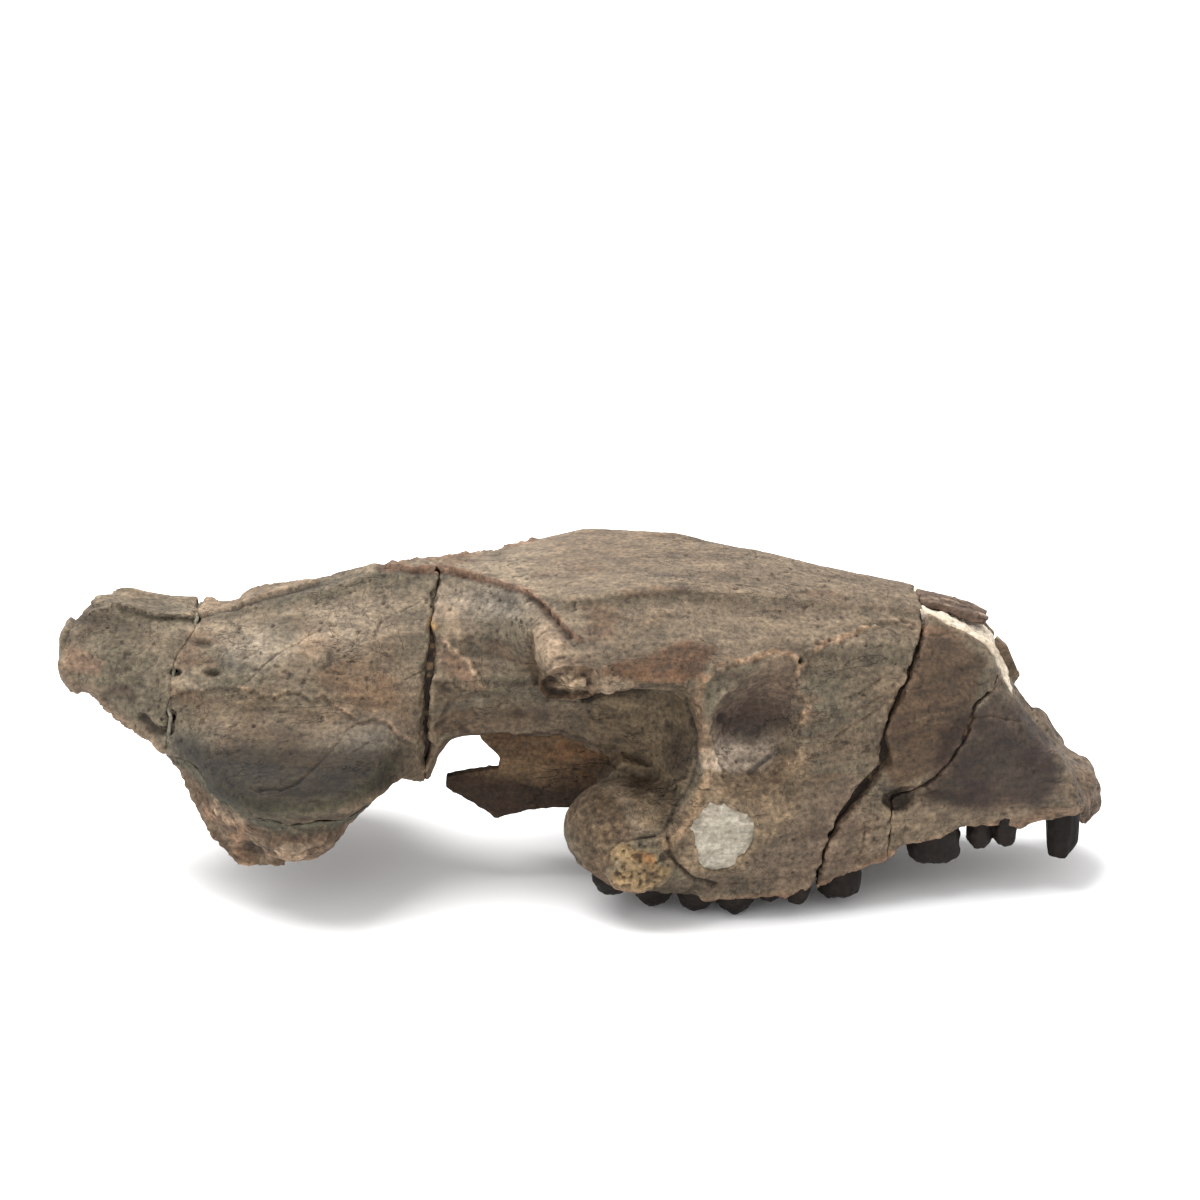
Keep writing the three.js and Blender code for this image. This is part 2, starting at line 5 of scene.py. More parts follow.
import bpy
import numpy as np
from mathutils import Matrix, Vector


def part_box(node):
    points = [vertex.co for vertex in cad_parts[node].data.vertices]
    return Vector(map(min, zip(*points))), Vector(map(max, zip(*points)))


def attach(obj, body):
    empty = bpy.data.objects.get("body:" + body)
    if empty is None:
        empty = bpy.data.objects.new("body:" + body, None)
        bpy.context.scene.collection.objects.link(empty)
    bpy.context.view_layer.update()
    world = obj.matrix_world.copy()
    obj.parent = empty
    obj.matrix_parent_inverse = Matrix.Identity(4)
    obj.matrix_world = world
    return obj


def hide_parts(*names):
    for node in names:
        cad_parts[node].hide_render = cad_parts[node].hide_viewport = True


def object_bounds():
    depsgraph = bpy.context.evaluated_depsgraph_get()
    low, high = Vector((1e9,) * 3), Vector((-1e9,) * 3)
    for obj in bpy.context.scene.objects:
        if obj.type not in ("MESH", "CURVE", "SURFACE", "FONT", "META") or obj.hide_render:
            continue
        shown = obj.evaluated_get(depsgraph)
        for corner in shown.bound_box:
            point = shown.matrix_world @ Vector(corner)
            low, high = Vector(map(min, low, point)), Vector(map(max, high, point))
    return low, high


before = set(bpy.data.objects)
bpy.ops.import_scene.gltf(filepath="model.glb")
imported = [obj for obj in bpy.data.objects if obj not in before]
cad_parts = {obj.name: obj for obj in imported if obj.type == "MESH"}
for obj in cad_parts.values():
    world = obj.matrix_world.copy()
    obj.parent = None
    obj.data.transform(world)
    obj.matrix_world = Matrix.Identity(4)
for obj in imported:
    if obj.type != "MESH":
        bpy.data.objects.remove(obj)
cad_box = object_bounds()

STEP = 0.37  # spacing of the grid that the bone is meshed on
REAR_END, SNOUT_END = -104.6, 105.6
SHIFT = np.array([(REAR_END + SNOUT_END) / 2, 0, 0])  # from the frame's middle to the lengths used here
WHOLE_LOW = np.array(cad_box[0]) * 1000 + SHIFT
WHOLE_HIGH = np.array(cad_box[1]) * 1000 + SHIFT
CROWN = 66.2
ORBIT_HALF = 33.0
PROCESS_HALF = 37.0
BRAIN_HALF = 22.0
GLENOID_HALF = 36.0
MOLAR_HALF = 28.5
SNOUT_HALF = 16.5
NASAL_HALF = 7.6
RIGHT, LEFT = -1, 1
SIDES = (("right", RIGHT), ("left", LEFT))
F = np.float32
VIEW_RISE = math.radians(19)  # the photograph's view: its height over the floor, and its distance
VIEW_DISTANCE = 650
DRAWING_CENTRE = (3.6, 57.3)  # x and z of the middle of the drawing that the marks are placed in
DRAWING_MIDDLE = 600
DRAWING_SCALE = 5


# Curves and lines


def curve_through(points):
    """A monotone cubic through points (t, value), held level past its ends."""
    t = np.array([p[0] for p in points], float)
    v = np.array([p[1] for p in points], float)
    slope = np.diff(v) / np.diff(t)
    tangent = np.zeros(len(t))
    a, b = slope[:-1], slope[1:]
    total = np.where(a + b == 0, 1, a + b)
    tangent[1:-1] = np.where(a * b <= 0, 0, 2 * a * b / total)

    def at(x):
        x = np.clip(np.asarray(x, float), t[0], t[-1])
        i = np.clip(np.searchsorted(t, x, side="right") - 1, 0, len(t) - 2)
        span = t[i + 1] - t[i]
        s = (x - t[i]) / span
        rise = s * s * (3 - 2 * s)
        ease = span * (s * (1 - s) ** 2 * tangent[i] - s * s * (1 - s) * tangent[i + 1])
        return v[i] + rise * (v[i + 1] - v[i]) + ease

    return at


def rail(points):
    """A line of the skull from points (x, height, half-width)."""
    return (curve_through([(x, z) for x, z, w in points]), curve_through([(x, w) for x, z, w in points]))


crown_height = curve_through([
    (REAR_END, 48.6), (-103.8, 52), (-101.5, 53.2), (-97, 57), (-87, 56.2), (-76, 55.2), (-69, 56.2),
    (-66.5, 58.2), (-56, 60.6), (-47, 62.6), (-41, 64.6), (-30, 65.2), (-19, 65.4), (0, CROWN),
    (27, CROWN - 0.2), (46.7, 63), (67, 59), (80, 54), (83.6, 46), (87, 37.2), (92, 29.2), (97, 24.6),
    (100, 22.8), (103, 21.2), (SNOUT_END, 16.2)])
keel_height = curve_through([
    (REAR_END, 44.6), (-95, 40.4), (-86, 34), (-78, 26), (-70, 18.4), (-58, 17), (-44, 21), (-34, 28),
    (-26, 32.6), (-10, 32), (8, 28), (18, 20), (24, 14), (45, 13.5), (66, 16), (84, 18.6),
    (98, 17.4), (SNOUT_END, 15)])
roof_line = rail([(REAR_END, 49, 3.4), (-103.8, 51.4, 4), (-101.2, 54.3, 4.6), (-97, 57.6, 4.8),
    (-92, 58.1, 4.9), (-86, 56.8, 5), (-76, 56.1, 5), (-69, 56.8, 4.5), (-66.5, 58, 4.5), (-56.7, 60, 4.4),
    (-46.6, 62.8, 4), (-41.4, 64.1, 3), (-30.5, 64.7, 3.8), (-22, 64.5, 7), (-16.7, 64.3, 11),
    (-6.7, 64.5, 19.5), (0.5, 65.5, 22), (6, 65.9, 20.5), (18, 65.8, 18), (28, 64, 16), (36, 62.9, 14),
    (47.5, 60.8, 12), (58.3, 58.9, 10), (67.3, 57.2, 8.8), (73, 53.5, 9.3), (78, 50.6, 9.5), (81, 47.6, 9.4),
    (83.4, 43.4, 8.9), (86, 40.2, 8), (89.4, 35.2, 6.3), (94, 30, 4.4), (97.1, 25.6, 3.4), (99.7, 23.2, 3.4),
    (103, 22.2, 4), (104.9, 19.6, 4), (SNOUT_END, 16.4, 2.8)])
shoulder_line = rail([
    (REAR_END, 48.2, 4.4), (-103.8, 50, 5.4), (-97, 53.6, 6.6), (-84, 52.4, 8), (-66, 51, 13.5),
    (-50, 51, 16), (-36, 53, 14), (-26, 56, 12), (-17, 57, 14.4), (-9, 57.4, 25), (-5, 55.4, 33.6),
    (-3, 54, PROCESS_HALF - 1), (0, 52.8, PROCESS_HALF), (3, 52.2, PROCESS_HALF - 1),
    (12, 51.6, ORBIT_HALF), (24, 52, ORBIT_HALF - 1), (34, 53.2, 28.4), (46, 54.8, 22.6),
    (58, 54, 17.6), (67, 51.4, 14.4), (76, 47.4, 12.4), (82, 40.4, 11.8), (88, 34.6, 10.6),
    (94, 27.6, 9), (99, 22.4, 8), (103, 19.4, 7), (SNOUT_END, 16, 4)])
wall_line = rail([
    (REAR_END, 47.4, 4.8), (-103.8, 47, 6.4), (-97, 47.4, 8), (-86, 43, 11.4), (-74, 41, 16.8),
    (-58, 40, BRAIN_HALF), (-44, 40.4, BRAIN_HALF - 1), (-32, 43.4, 17.8), (-22, 45.4, 14.6),
    (-8, 45, 13.6), (8, 44, 14), (17, 43.4, 17), (21.4, 43, 24.6), (24.4, 42.6, 30.6), (30, 42, 30.6),
    (44, 41, 26.8), (60, 37, 21.4), (75, 33, 18), (88, 27, SNOUT_HALF - 1), (97, 21, 13),
    (102, 17.6, 10.2), (SNOUT_END, 15.4, 4.4)])
flank_line = rail([(REAR_END, 45.8, 4.6), (-103.8, 43.4, 6.6), (-97, 42.6, 8.6), (-86, 36.4, 13),
    (-78, 31.4, 18.6), (-69.2, 28.7, 29.4), (-62, 27.5, GLENOID_HALF - 1.4), (-54, 26.6, GLENOID_HALF),
    (-45.6, 26.2, GLENOID_HALF - 1.4), (-40, 27.4, 30.6), (-36, 28.9, 24.6), (-31, 31.6, 17.6),
    (-25, 33.8, 13.2), (-20, 34.4, 12.4), (-8, 34, 12.4), (6, 32, 13.4), (13, 28.6, 17), (17.6, 26, 25.4),
    (20.4, 24.4, 30.4), (26, 22, 31.4), (34, 19.4, 31), (48, 15.4, 26.8), (62, 17, 21.8), (78, 20, 18),
    (90, 21, SNOUT_HALF), (95.4, 20, 15.6), (99, 18.8, 13.4), (102.2, 16.4, 10.8), (SNOUT_END, 15, 4.2)])
foot_line = rail([(REAR_END, 44.2, 4), (-103.8, 41.4, 5.4), (-102, 40, 6.2), (-98, 39.6, 7.4), (-94, 36.4, 9),
    (-86, 31.8, 12.6), (-80.6, 27.8, 16), (-77.2, 21.8, 19.4), (-71.8, 13, 21.6), (-65, 8, 22.4),
    (-61.6, 7.2, 22.6), (-57.8, 11.2, 24), (-54.3, 16, 27), (-49.7, 17.2, 28), (-44.9, 20.8, 27.4),
    (-41, 24, 25), (-36.6, 26.8, 19.6), (-31.4, 23.4, 14.6), (-27.3, 30, 11), (-23, 32.2, 9.6),
    (-8, 31.6, 9.6), (6, 27.6, 10.6), (13, 20, 14), (17.6, 12, 20), (20.4, 7.4, 26), (24.4, 4.4, MOLAR_HALF),
    (31.2, 4.8, MOLAR_HALF), (39, 4.6, 27.6), (46, 6.1, 26.2), (54, 8.9, 23.8), (60.2, 10.2, 22),
    (64, 12.9, 20.8), (70, 13.4, 19.2), (78, 15.6, 17.2), (84, 14.9, 16.2), (88, 14.4, 15.6), (91, 15.8, 15),
    (94, 16.8, 14.2), (98.6, 16.6, 12.4), (101.4, 12.6, 9.8), (104.6, 14.2, 5.4), (SNOUT_END, 14.8, 3)])
side_rails = [foot_line, flank_line, wall_line, shoulder_line, roof_line]  # from the floor up

# The pit in the side of the face, before the eye socket.
pit = dict(x=33.6, z=40.0, half_length=10.4, half_height=13.6, depth=8.6, rear_shift=3.0)


def pit_radius(x, z):
    """1 on the rim of the pit in the side of the face, in the side view."""
    lean = (z - pit["z"]) * 0.12
    return np.hypot((x - pit["x"] - lean) / pit["half_length"], (z - pit["z"]) / pit["half_height"])


def pit_depth(x, z):
    """How far the pit is sunk into the side."""
    r = pit_radius(x, z)
    forward = 1 - pit["rear_shift"] * (x - pit["x"]) / (pit["half_length"] * 10)
    return np.where(r < 1, pit["depth"] * forward * np.clip(1 - r * r, 0, 1) ** 1.4, 0)


# Seeded noise


def lattice(seed):
    return np.random.default_rng(seed).uniform(-1, 1, (32, 32, 32)).astype(F)


LATTICES = [lattice(s) for s in range(7)]


def noise(p, size, seed=0):
    """Smooth value noise from -1 to 1 at points p; size is the width of its lumps, one number or three."""
    table = LATTICES[seed % len(LATTICES)]
    q = p / np.asarray(size, F) + F(seed * 5.37 + 0.31)
    i = np.floor(q).astype(np.int32)
    f = (q - i).astype(F)
    f = f * f * f * (f * (f * 6 - 15) + 10)
    i &= 31
    j = (i + 1) & 31
    x0, y0, z0, x1, y1, z1 = i[:, 0], i[:, 1], i[:, 2], j[:, 0], j[:, 1], j[:, 2]
    fx, fy, fz = f[:, 0], f[:, 1], f[:, 2]
    a = table[x0, y0, z0] * (1 - fx) + table[x1, y0, z0] * fx
    b = table[x0, y1, z0] * (1 - fx) + table[x1, y1, z0] * fx
    c = table[x0, y0, z1] * (1 - fx) + table[x1, y0, z1] * fx
    d = table[x0, y1, z1] * (1 - fx) + table[x1, y1, z1] * fx
    return (a * (1 - fy) + b * fy) * (1 - fz) + (c * (1 - fy) + d * fy) * fz


def fbm(p, size, octaves=3, seed=0, gain=0.5):
    """Noise in layers, each about half as wide and as strong as the one before."""
    total, weight, height = 0, 0, 1.0
    size = np.asarray(size, F)
    for k in range(octaves):
        total = total + height * noise(p, size, seed + k)
        weight += height
        height *= gain
        size = size * F(0.47)
    return total / weight


def ridged(p, size, octaves=3, seed=0):
    """Near 1 along thin winding lines and falling off from them."""
    total, weight, height = 0, 0, 1.0
    size = np.asarray(size, F)
    for k in range(octaves):
        total = total + height * (1 - np.abs(noise(p, size, seed + k)))
        weight += height
        height *= 0.5
        size = size * F(0.5)
    return total / weight


# Fields: negative inside, in millimetres


def smooth_min(a, b, k):
    """Joins two fields, with a fillet of width k."""
    h = np.clip(0.5 + 0.5 * (b - a) / k, 0, 1)
    return b + (a - b) * h - k * h * (1 - h)


def smooth_max(a, b, k):
    """What two fields share; with -b, field a less field b."""
    return -smooth_min(-a, -b, k)


def ellipsoid(x, y, z, centre, radii, turn=0.0):
    """turn is about the y axis, as the solids have it."""
    dx, dy, dz = x - centre[0], y - centre[1], z - centre[2]
    c, s = math.cos(turn), math.sin(turn)
    u, w = (c * dx - s * dz) / radii[0], (s * dx + c * dz) / radii[2]
    v = dy / radii[1]
    k0 = np.sqrt(u * u + v * v + w * w) + 1e-6
    k1 = np.sqrt((u / radii[0]) ** 2 + (v / radii[1]) ** 2 + (w / radii[2]) ** 2) + 1e-6
    return k0 * (k0 - 1) / k1


def rod(x, y, z, start, end, start_radius, end_radius):
    a, b = np.array(start, float), np.array(end, float)
    d = b - a
    t = ((x - a[0]) * d[0] + (y - a[1]) * d[1] + (z - a[2]) * d[2]) / (d @ d)
    t = np.clip(t, 0, 1)
    gap = np.sqrt((x - a[0] - t * d[0]) ** 2 + (y - a[1] - t * d[1]) ** 2 + (z - a[2] - t * d[2]) ** 2)
    return gap - (start_radius + t * (end_radius - start_radius))


def line_gap(px, py, points):
    """Distance in a plane from (px, py) to a line through points, and how far along it from 0 to 1."""
    best, where = np.full(np.broadcast(px, py).shape, 1e9, F), np.zeros(np.broadcast(px, py).shape, F)
    points = np.array(points, float)
    lengths = np.hypot(*np.diff(points, axis=0).T)
    reach = np.concatenate([[0], np.cumsum(lengths)]) / lengths.sum()
    for k in range(len(points) - 1):
        a, d = points[k], points[k + 1] - points[k]
        t = np.clip(((px - a[0]) * d[0] + (py - a[1]) * d[1]) / (d @ d), 0, 1)
        gap = np.hypot(px - a[0] - t * d[0], py - a[1] - t * d[1])
        near = gap < best
        best = np.where(near, gap, best)
        where = np.where(near, reach[k] + t * (reach[k + 1] - reach[k]), where)
    return best, where


def polygon(px, py, points):
    """Signed distance in a plane to a closed outline, negative inside."""
    points = np.array(points, float)
    ring = np.vstack([points, points[:1]])
    gap, _ = line_gap(px, py, ring)
    inside = np.zeros(gap.shape, bool)
    for (ax, ay), (bx, by) in zip(ring[:-1], ring[1:]):
        crosses = (ay > py) != (by > py)
        at = ax + (py - ay) * (bx - ax) / (by - ay if by != ay else 1e-9)
        inside ^= crosses & (px < at)
    return np.where(inside, -gap, gap)


# The cranium as a field


def planes(xs, ys, zs):
    return [np.asarray(v, F) for v in (xs[:, None, None], ys[None, :, None], zs[None, None, :])]


def side_width(xs, zs):
    """Half-width over a grid of x and z, the same curve as the solids' cross-sections."""
    level = np.stack([line[0](xs) for line in side_rails], 1)
    half = np.stack([line[1](xs) for line in side_rails], 1)
    slope = np.diff(half, axis=1) / np.diff(level, axis=1)
    tangent = np.zeros_like(half)
    a, b = slope[:, :-1], slope[:, 1:]
    total = np.where(a + b == 0, 1, a + b)
    tangent[:, 1:-1] = np.where(a * b <= 0, 0, 2 * a * b / total)
    z = zs[None, :]
    out = np.where(z >= level[:, -1:], half[:, -1:], half[:, :1]) + 0 * z
    for k in range(level.shape[1] - 1):
        span = level[:, k + 1:k + 2] - level[:, k:k + 1]
        s = (z - level[:, k:k + 1]) / span
        rise = s * s * (3 - 2 * s)
        ease = span * (s * (1 - s) ** 2 * tangent[:, k:k + 1] - s * s * (1 - s) * tangent[:, k + 1:k + 2])
        value = half[:, k:k + 1] + rise * (half[:, k + 1:k + 2] - half[:, k:k + 1]) + ease
        out = np.where((s >= 0) & (s < 1), value, out)
    return out - pit_depth(xs[:, None], z)


def cranium(xs, ys, zs):
    """The cranium between its roof, its keel and its two sides, before anything is cut or joined."""
    x, y, z = planes(xs, ys, zs)
    wide = side_width(xs, zs)
    gx = np.gradient(wide, xs, axis=0)
    gz = np.gradient(wide, zs, axis=1)
    steep = np.sqrt(1 + gx * gx + gz * gz)
    side = (np.abs(y) - wide[:, None, :].astype(F)) / steep[:, None, :].astype(F)
    roof_z, roof_w = roof_line[0](xs)[:, None], roof_line[1](xs)[:, None]
    share = np.clip(np.abs(ys)[None, :] / roof_w, 0, 1)
    top = crown_height(xs)[:, None] + (roof_z - crown_height(xs)[:, None]) * share ** 2
    tx = np.gradient(top, xs, axis=0)
    lid = (z - top[:, :, None].astype(F)) / np.sqrt(1 + tx * tx)[:, :, None].astype(F)
    foot_z, foot_w = foot_line[0](xs)[:, None], foot_line[1](xs)[:, None]
    share = np.clip(np.abs(ys)[None, :] / foot_w, 0, 1)
    low = keel_height(xs)[:, None] + (foot_z - keel_height(xs)[:, None]) * share ** 2.4
    lx = np.gradient(low, xs, axis=0)
    base = (low[:, :, None].astype(F) - z) / np.sqrt(1 + lx * lx)[:, :, None].astype(F)
    body = smooth_max(side, lid, 1.0)
    body = smooth_max(body, base, 0.5)
    body = smooth_max(body, F(REAR_END) - x, 0.8)
    return smooth_max(body, x - F(SNOUT_END), 1.2)


def plate(outline, xs, ys, zs, low_y, high_y):
    """A flat slab with an outline in the side view, as a field."""
    flat = polygon(xs[:, None], zs[None, :], outline).astype(F)[:, None, :]
    y = np.asarray(ys, F)[None, :, None]
    return np.maximum(flat, np.maximum(F(low_y) - y, y - F(high_y)))


def whole_bone(xs, ys, zs):
    """The cranium with its hollows cut and its smaller bones joined, on a grid: the solids' own shapes."""
    x, y, z = planes(xs, ys, zs)
    body = cranium(xs, ys, zs)
    if xs[0] < -40:
        occiput = ellipsoid(x, y, z, (-99, 0, 28), (14, 8, 13), 0.25)
        notch = ellipsoid(x, y, z, (-111, 0, 46), (10, 3, 8), 0.2)
        body = smooth_max(smooth_max(body, -occiput, 1.5), -notch, 1.5)
        for side in (RIGHT, LEFT):
            condyle = ellipsoid(x, y, z, (-69, side * 8, 19), (6.6, 6, 8), 0.4)
            knob = ellipsoid(x, y, z, (-56, side * 27, 20), (9, 7.4, 6.6))
            body = smooth_min(smooth_min(body, condyle, 1.5), knob, 2)
        foramen_magnum = rod(x, y, z, (-84, 0, 29), (-66, 0, 27), 6, 5)
        left_foot = rod(x, y, z, (-61.4, LEFT * 21.4, 14), (-61.8, LEFT * 20, 2.2), 6.4, 2.8)
        body = smooth_min(smooth_max(body, -foramen_magnum, 1), left_foot, 2)
    if xs[-1] > 56:
        body = smooth_min(body, plate(left_rim, xs, ys, zs, NASAL_HALF, NASAL_HALF + 2.2), 0.8)
        for side in (RIGHT, LEFT):
            canine_root = rod(x, y, z, (95.9, side * 11.9, 18.8), (92.8, side * 11.2, 26.2), 4.3, 3.2)
            nerve_hole = ellipsoid(x, y, z, (62.7, side * 21.8, 22.9), (3.7, 3.6, 2.3), 0.1)
            nerve_groove = ellipsoid(x, y, z, (67.4, side * 21.2, 24), (5.4, 2.4, 1.3), 0.2)
            body = smooth_max(smooth_min(body, canine_root, 2.5), -nerve_hole, 0.5)
            body = smooth_max(body, -nerve_groove, 1)
    if xs[-1] > -8 and xs[0] < 40:
        for side in (RIGHT, LEFT):
            bulge = ellipsoid(x, y, z, (10.4, side * 23, 16.6), (14, 11.4, 10.6), 0.16)
            stump = rod(x, y, z, (15, side * 25, 16), (10.8, side * 30, 14.8), 10, 7)
            stump = smooth_max(stump, side * y - 35.2, 1)
            fill = ellipsoid(x, y, z, (20, side * 22, 15), (10, 10.4, 10.6))
            body = smooth_min(body, smooth_min(smooth_min(bulge, stump, 2), fill, 3), 3)
        palate = [(4, 18), (7, 13), (24, 12.6), (30, 15), (28, 26), (8, 30), (3, 24)]
        palate = polygon(xs[:, None], zs[None, :], palate)
        palate = np.maximum(palate[:, None, :].astype(F), np.abs(y) - 19)
        body = smooth_min(body, palate, 1)
    return smooth_max(body, 0.0 - z, 0.3)


# Real breaks: each is x as a function of height, from points (z, x), with a gap that varies.
breaks = {
    "nuchal": ([(0, -84), (29, -83), (35.3, -81.8), (43.3, -81.3), (49.3, -80.1), (52, -77.5),
                (56.5, -76.2), (80, -76)], 0.02, 0.08),
    "brain": ([(0, -31.4), (24, -31.2), (32.5, -30.8), (42.7, -30.3), (51.1, -29.6), (56.6, -30),
               (62, -28.8), (80, -28.4)], 0.35, 1.0),
    "face": ([(-10, 45.6), (6, 45.6), (9.9, 47), (15.9, 47.9), (21.9, 51.8), (26.8, 55.6), (30.6, 59.3),
              (35.5, 58.9), (40.4, 60), (46.6, 64), (51.7, 66.1), (56.2, 67.7), (80, 70)], 0.4, 1.2),
    "snout": ([(0, 61), (15, 60.6), (22.4, 61.4), (24.5, 66.5), (26.9, 69.9), (31.4, 73.9), (37, 76.4),
               (40.2, 77.2), (42.6, 81.8), (50, 86)], 0.1, 0.38),
}


def break_gap(name, p):
    """Signed distance to a break at points p, positive towards the snout, less half its own width."""
    line, narrow, wide = breaks[name]
    z = np.array([k[0] for k in line], float)
    x = np.array([k[1] for k in line], float)
    at = np.interp(p[:, 2], z, x)
    lean = np.gradient(np.interp(np.arange(-12, 82, 1.0), z, x))
    lean = np.interp(p[:, 2], np.arange(-12, 82, 1.0), lean)
    seed = len(name)
    jag = 0.9 * fbm(p, (60, 4, 3.2), 3, seed)
    gape = narrow + (wide - narrow) * np.clip(0.5 + 1.1 * noise(p, (40, 9, 7), seed + 2), 0, 1)
    if name == "snout":
        gape = np.where(p[:, 2] < 23, 0.04, gape)
    if name == "brain":
        gape = 0.05 + (gape - 0.05) * np.clip((p[:, 2] - 27) / 4, 0, 1) * np.clip((57 - p[:, 2]) / 4, 0, 1)
    return (p[:, 0] - at - jag) / np.sqrt(1 + lean * lean), gape


arch_root_top = curve_through([(-80, 30.4), (-69, 25.4), (-62, 24.2), (-54, 23.4), (-45, 23.2), (-36, 26)])
ARCH_ROOT_HALF = 13.0
NASAL_BREAK = 67.4  # where the nasal bones end and the rock begins
window_outline = [(NASAL_BREAK, 75), (86, 75), (86, 39.4), (84.6, 36.6), (NASAL_BREAK, 46)]
matrix_outline = [(NASAL_BREAK - 0.4, 57.6), (70, 56.2), (74, 54.5), (80, 51.7), (83, 47.6), (84.6, 42.4),
                  (86.6, 39.4), (84.6, 36), (NASAL_BREAK - 0.4, 45.6)]
strip_outline = [(67.0, 59.2), (67.0, 57.5), (74, 55.5), (80.4, 52.8), (81, 54.4), (74, 57)]
wing_outline = [(-27.2, 23.2), (-27.2, 21.2), (-22.6, 17.8), (-17.6, 14.5), (-10.5, 16.1), (-2.8, 16.7),
                (7, 17), (9, 24), (5, 30), (-8, 34), (-21.2, 34), (-20.2, 31.2), (-16.6, 27.2),
                (-16.8, 25), (-24.3, 24.1)]
left_rim = [(74, 54.6), (80, 51.8), (83, 48.2), (85, 46), (86.6, 44.6), (87.6, 42.4), (89.4, 38.2), (86, 34),
            (76, 44)]
WING_THICK, WING_HALF = 2.8, 7.4  # thickness of a wing, and how far its inner face is from the middle
LEFT_WING_END = -15
# The patch of rock in the right cheek, under the pit.
patch = dict(x=27.4, z=19.0, half_length=5.9, half_height=7.2, wobble=0.09)


def patch_gap(x, z):
    """Distance to the uneven outline of the rock in the cheek, in the side view."""
    turn = np.arctan2((z - patch["z"]) / patch["half_height"], (x - patch["x"]) / patch["half_length"])
    r = np.hypot((x - patch["x"]) / patch["half_length"], (z - patch["z"]) / patch["half_height"])
    return (r - 1 - patch["wobble"] * np.sin(3 * turn + 1)) * patch["half_length"]


def axis(low, high, step):
    return np.arange(math.floor(low / step), math.ceil(high / step) + 1) * step


def grid_points(xs, ys, zs, where):
    i, j, k = np.nonzero(where)
    return np.stack([xs[i], ys[j], zs[k]], 1).astype(F)


# How far the edges of each break have crumbled, in millimetres.
CHIPPED = dict(nuchal=0.12, brain=1.0, face=1.0, snout=0.4)


def cut_break(field, xs, ys, zs, name, side):
    """Keeps the part of a field that lies on one side of a break; side is 1 towards the snout."""
    line = breaks[name][0]
    at = np.interp(zs, [k[0] for k in line], [k[1] for k in line])
    cheap = (xs[:, None] - at[None, :]).astype(F)
    region = np.broadcast_to((-side * cheap)[:, None, :], field.shape).copy()
    near = np.broadcast_to((np.abs(cheap) < 4.5)[:, None, :], field.shape) & (field < 1.5)
    p = grid_points(xs, ys, zs, near)
    gap, gape = break_gap(name, p)
    skin = np.clip(1 + field[near] / 1.4, 0, 1)
    chips = skin * np.clip(noise(p, 1.7, 3) + 0.35, 0, 1) * CHIPPED[name]
    if name == "brain":
        chips = chips * np.clip((p[:, 2] - 27) / 4, 0, 1)
    region[near] = gape + chips - side * gap
    return smooth_max(field, region, 0.25)


def surface_net(field, xs, ys, zs):
    """The zero surface of a field as points and four-sided faces."""
    inside = field < 0
    count = np.zeros(tuple(n - 1 for n in field.shape), np.uint8)
    corners = [(a, b, c) for a in (0, 1) for b in (0, 1) for c in (0, 1)]
    n0, n1, n2 = count.shape
    for a, b, c in corners:
        count += inside[a:a + n0, b:b + n1, c:c + n2]
    active = (count > 0) & (count < 8)
    i, j, k = np.nonzero(active)
    value = {o: field[i + o[0], j + o[1], k + o[2]] for o in corners}
    total = np.zeros((len(i), 3), F)
    hits = np.zeros(len(i), F)
    for a in corners:
        for d in range(3):
            if a[d]:
                continue
            b = tuple(1 if m == d else a[m] for m in range(3))
            va, vb = value[a], value[b]
            cross = (va < 0) != (vb < 0)
            t = np.where(cross, va / np.where(cross, va - vb, 1), 0)
            spot = np.repeat(np.array([a], F), len(i), 0)
            spot[:, d] += t
            total += spot * cross[:, None]
            hits += cross
    points = total / hits[:, None] + np.stack([i, j, k], 1)
    step = xs[1] - xs[0]
    points = (points * step + np.array([xs[0], ys[0], zs[0]])).astype(F)
    number = np.full(count.shape, -1, np.int32)
    number[i, j, k] = np.arange(len(i), dtype=np.int32)
    quads = []
    for d in range(3):
        e, f = [m for m in range(3) if m != d]
        low = [slice(1, -1)] * 3
        low[d] = slice(0, -1)
        high = list(low)
        high[d] = slice(1, None)
        a, b = inside[tuple(low)], inside[tuple(high)]
        at = np.nonzero(a != b)
        starts_inside = a[at]
        at = [at[m] + (0 if m == d else 1) for m in range(3)]

        def cell(de, df):
            spot = list(at)
            spot[e] = spot[e] - de
            spot[f] = spot[f] - df
            return number[tuple(spot)]

        ring = np.stack([cell(1, 1), cell(0, 1), cell(0, 0), cell(1, 0)], 1)
        flip = starts_inside if d != 1 else ~starts_inside
        ring[~flip] = ring[~flip][:, ::-1]
        quads.append(ring)
    return points, np.concatenate(quads)


def largest_part(points, quads):
    """Drops loose crumbs: keeps the piece of the mesh with the most points."""
    label = np.arange(len(points))
    a = quads.ravel()
    b = np.roll(quads, 1, axis=1).ravel()
    while True:
        low = np.minimum(label[a], label[b])
        new = label.copy()
        np.minimum.at(new, a, low)
        np.minimum.at(new, b, low)
        new = new[new]
        new = new[new]
        if (new == label).all():
            break
        label = new
    names, sizes = np.unique(label, return_counts=True)
    keep = label == names[sizes.argmax()]
    index = np.cumsum(keep) - 1
    return points[keep], index[quads[keep[quads].all(1)]]


def neighbour_mean(values, quads):
    """Mean of each point's neighbours along the faces' edges."""
    a = quads.ravel()
    b = np.roll(quads, 1, axis=1).ravel()
    n = len(values)
    count = np.bincount(a, minlength=n) + np.bincount(b, minlength=n)
    if values.ndim == 1:
        return (np.bincount(a, values[b], n) + np.bincount(b, values[a], n)) / count
    return np.stack([(np.bincount(a, values[b, k], n) + np.bincount(b, values[a, k], n)) / count
                     for k in range(values.shape[1])], 1)


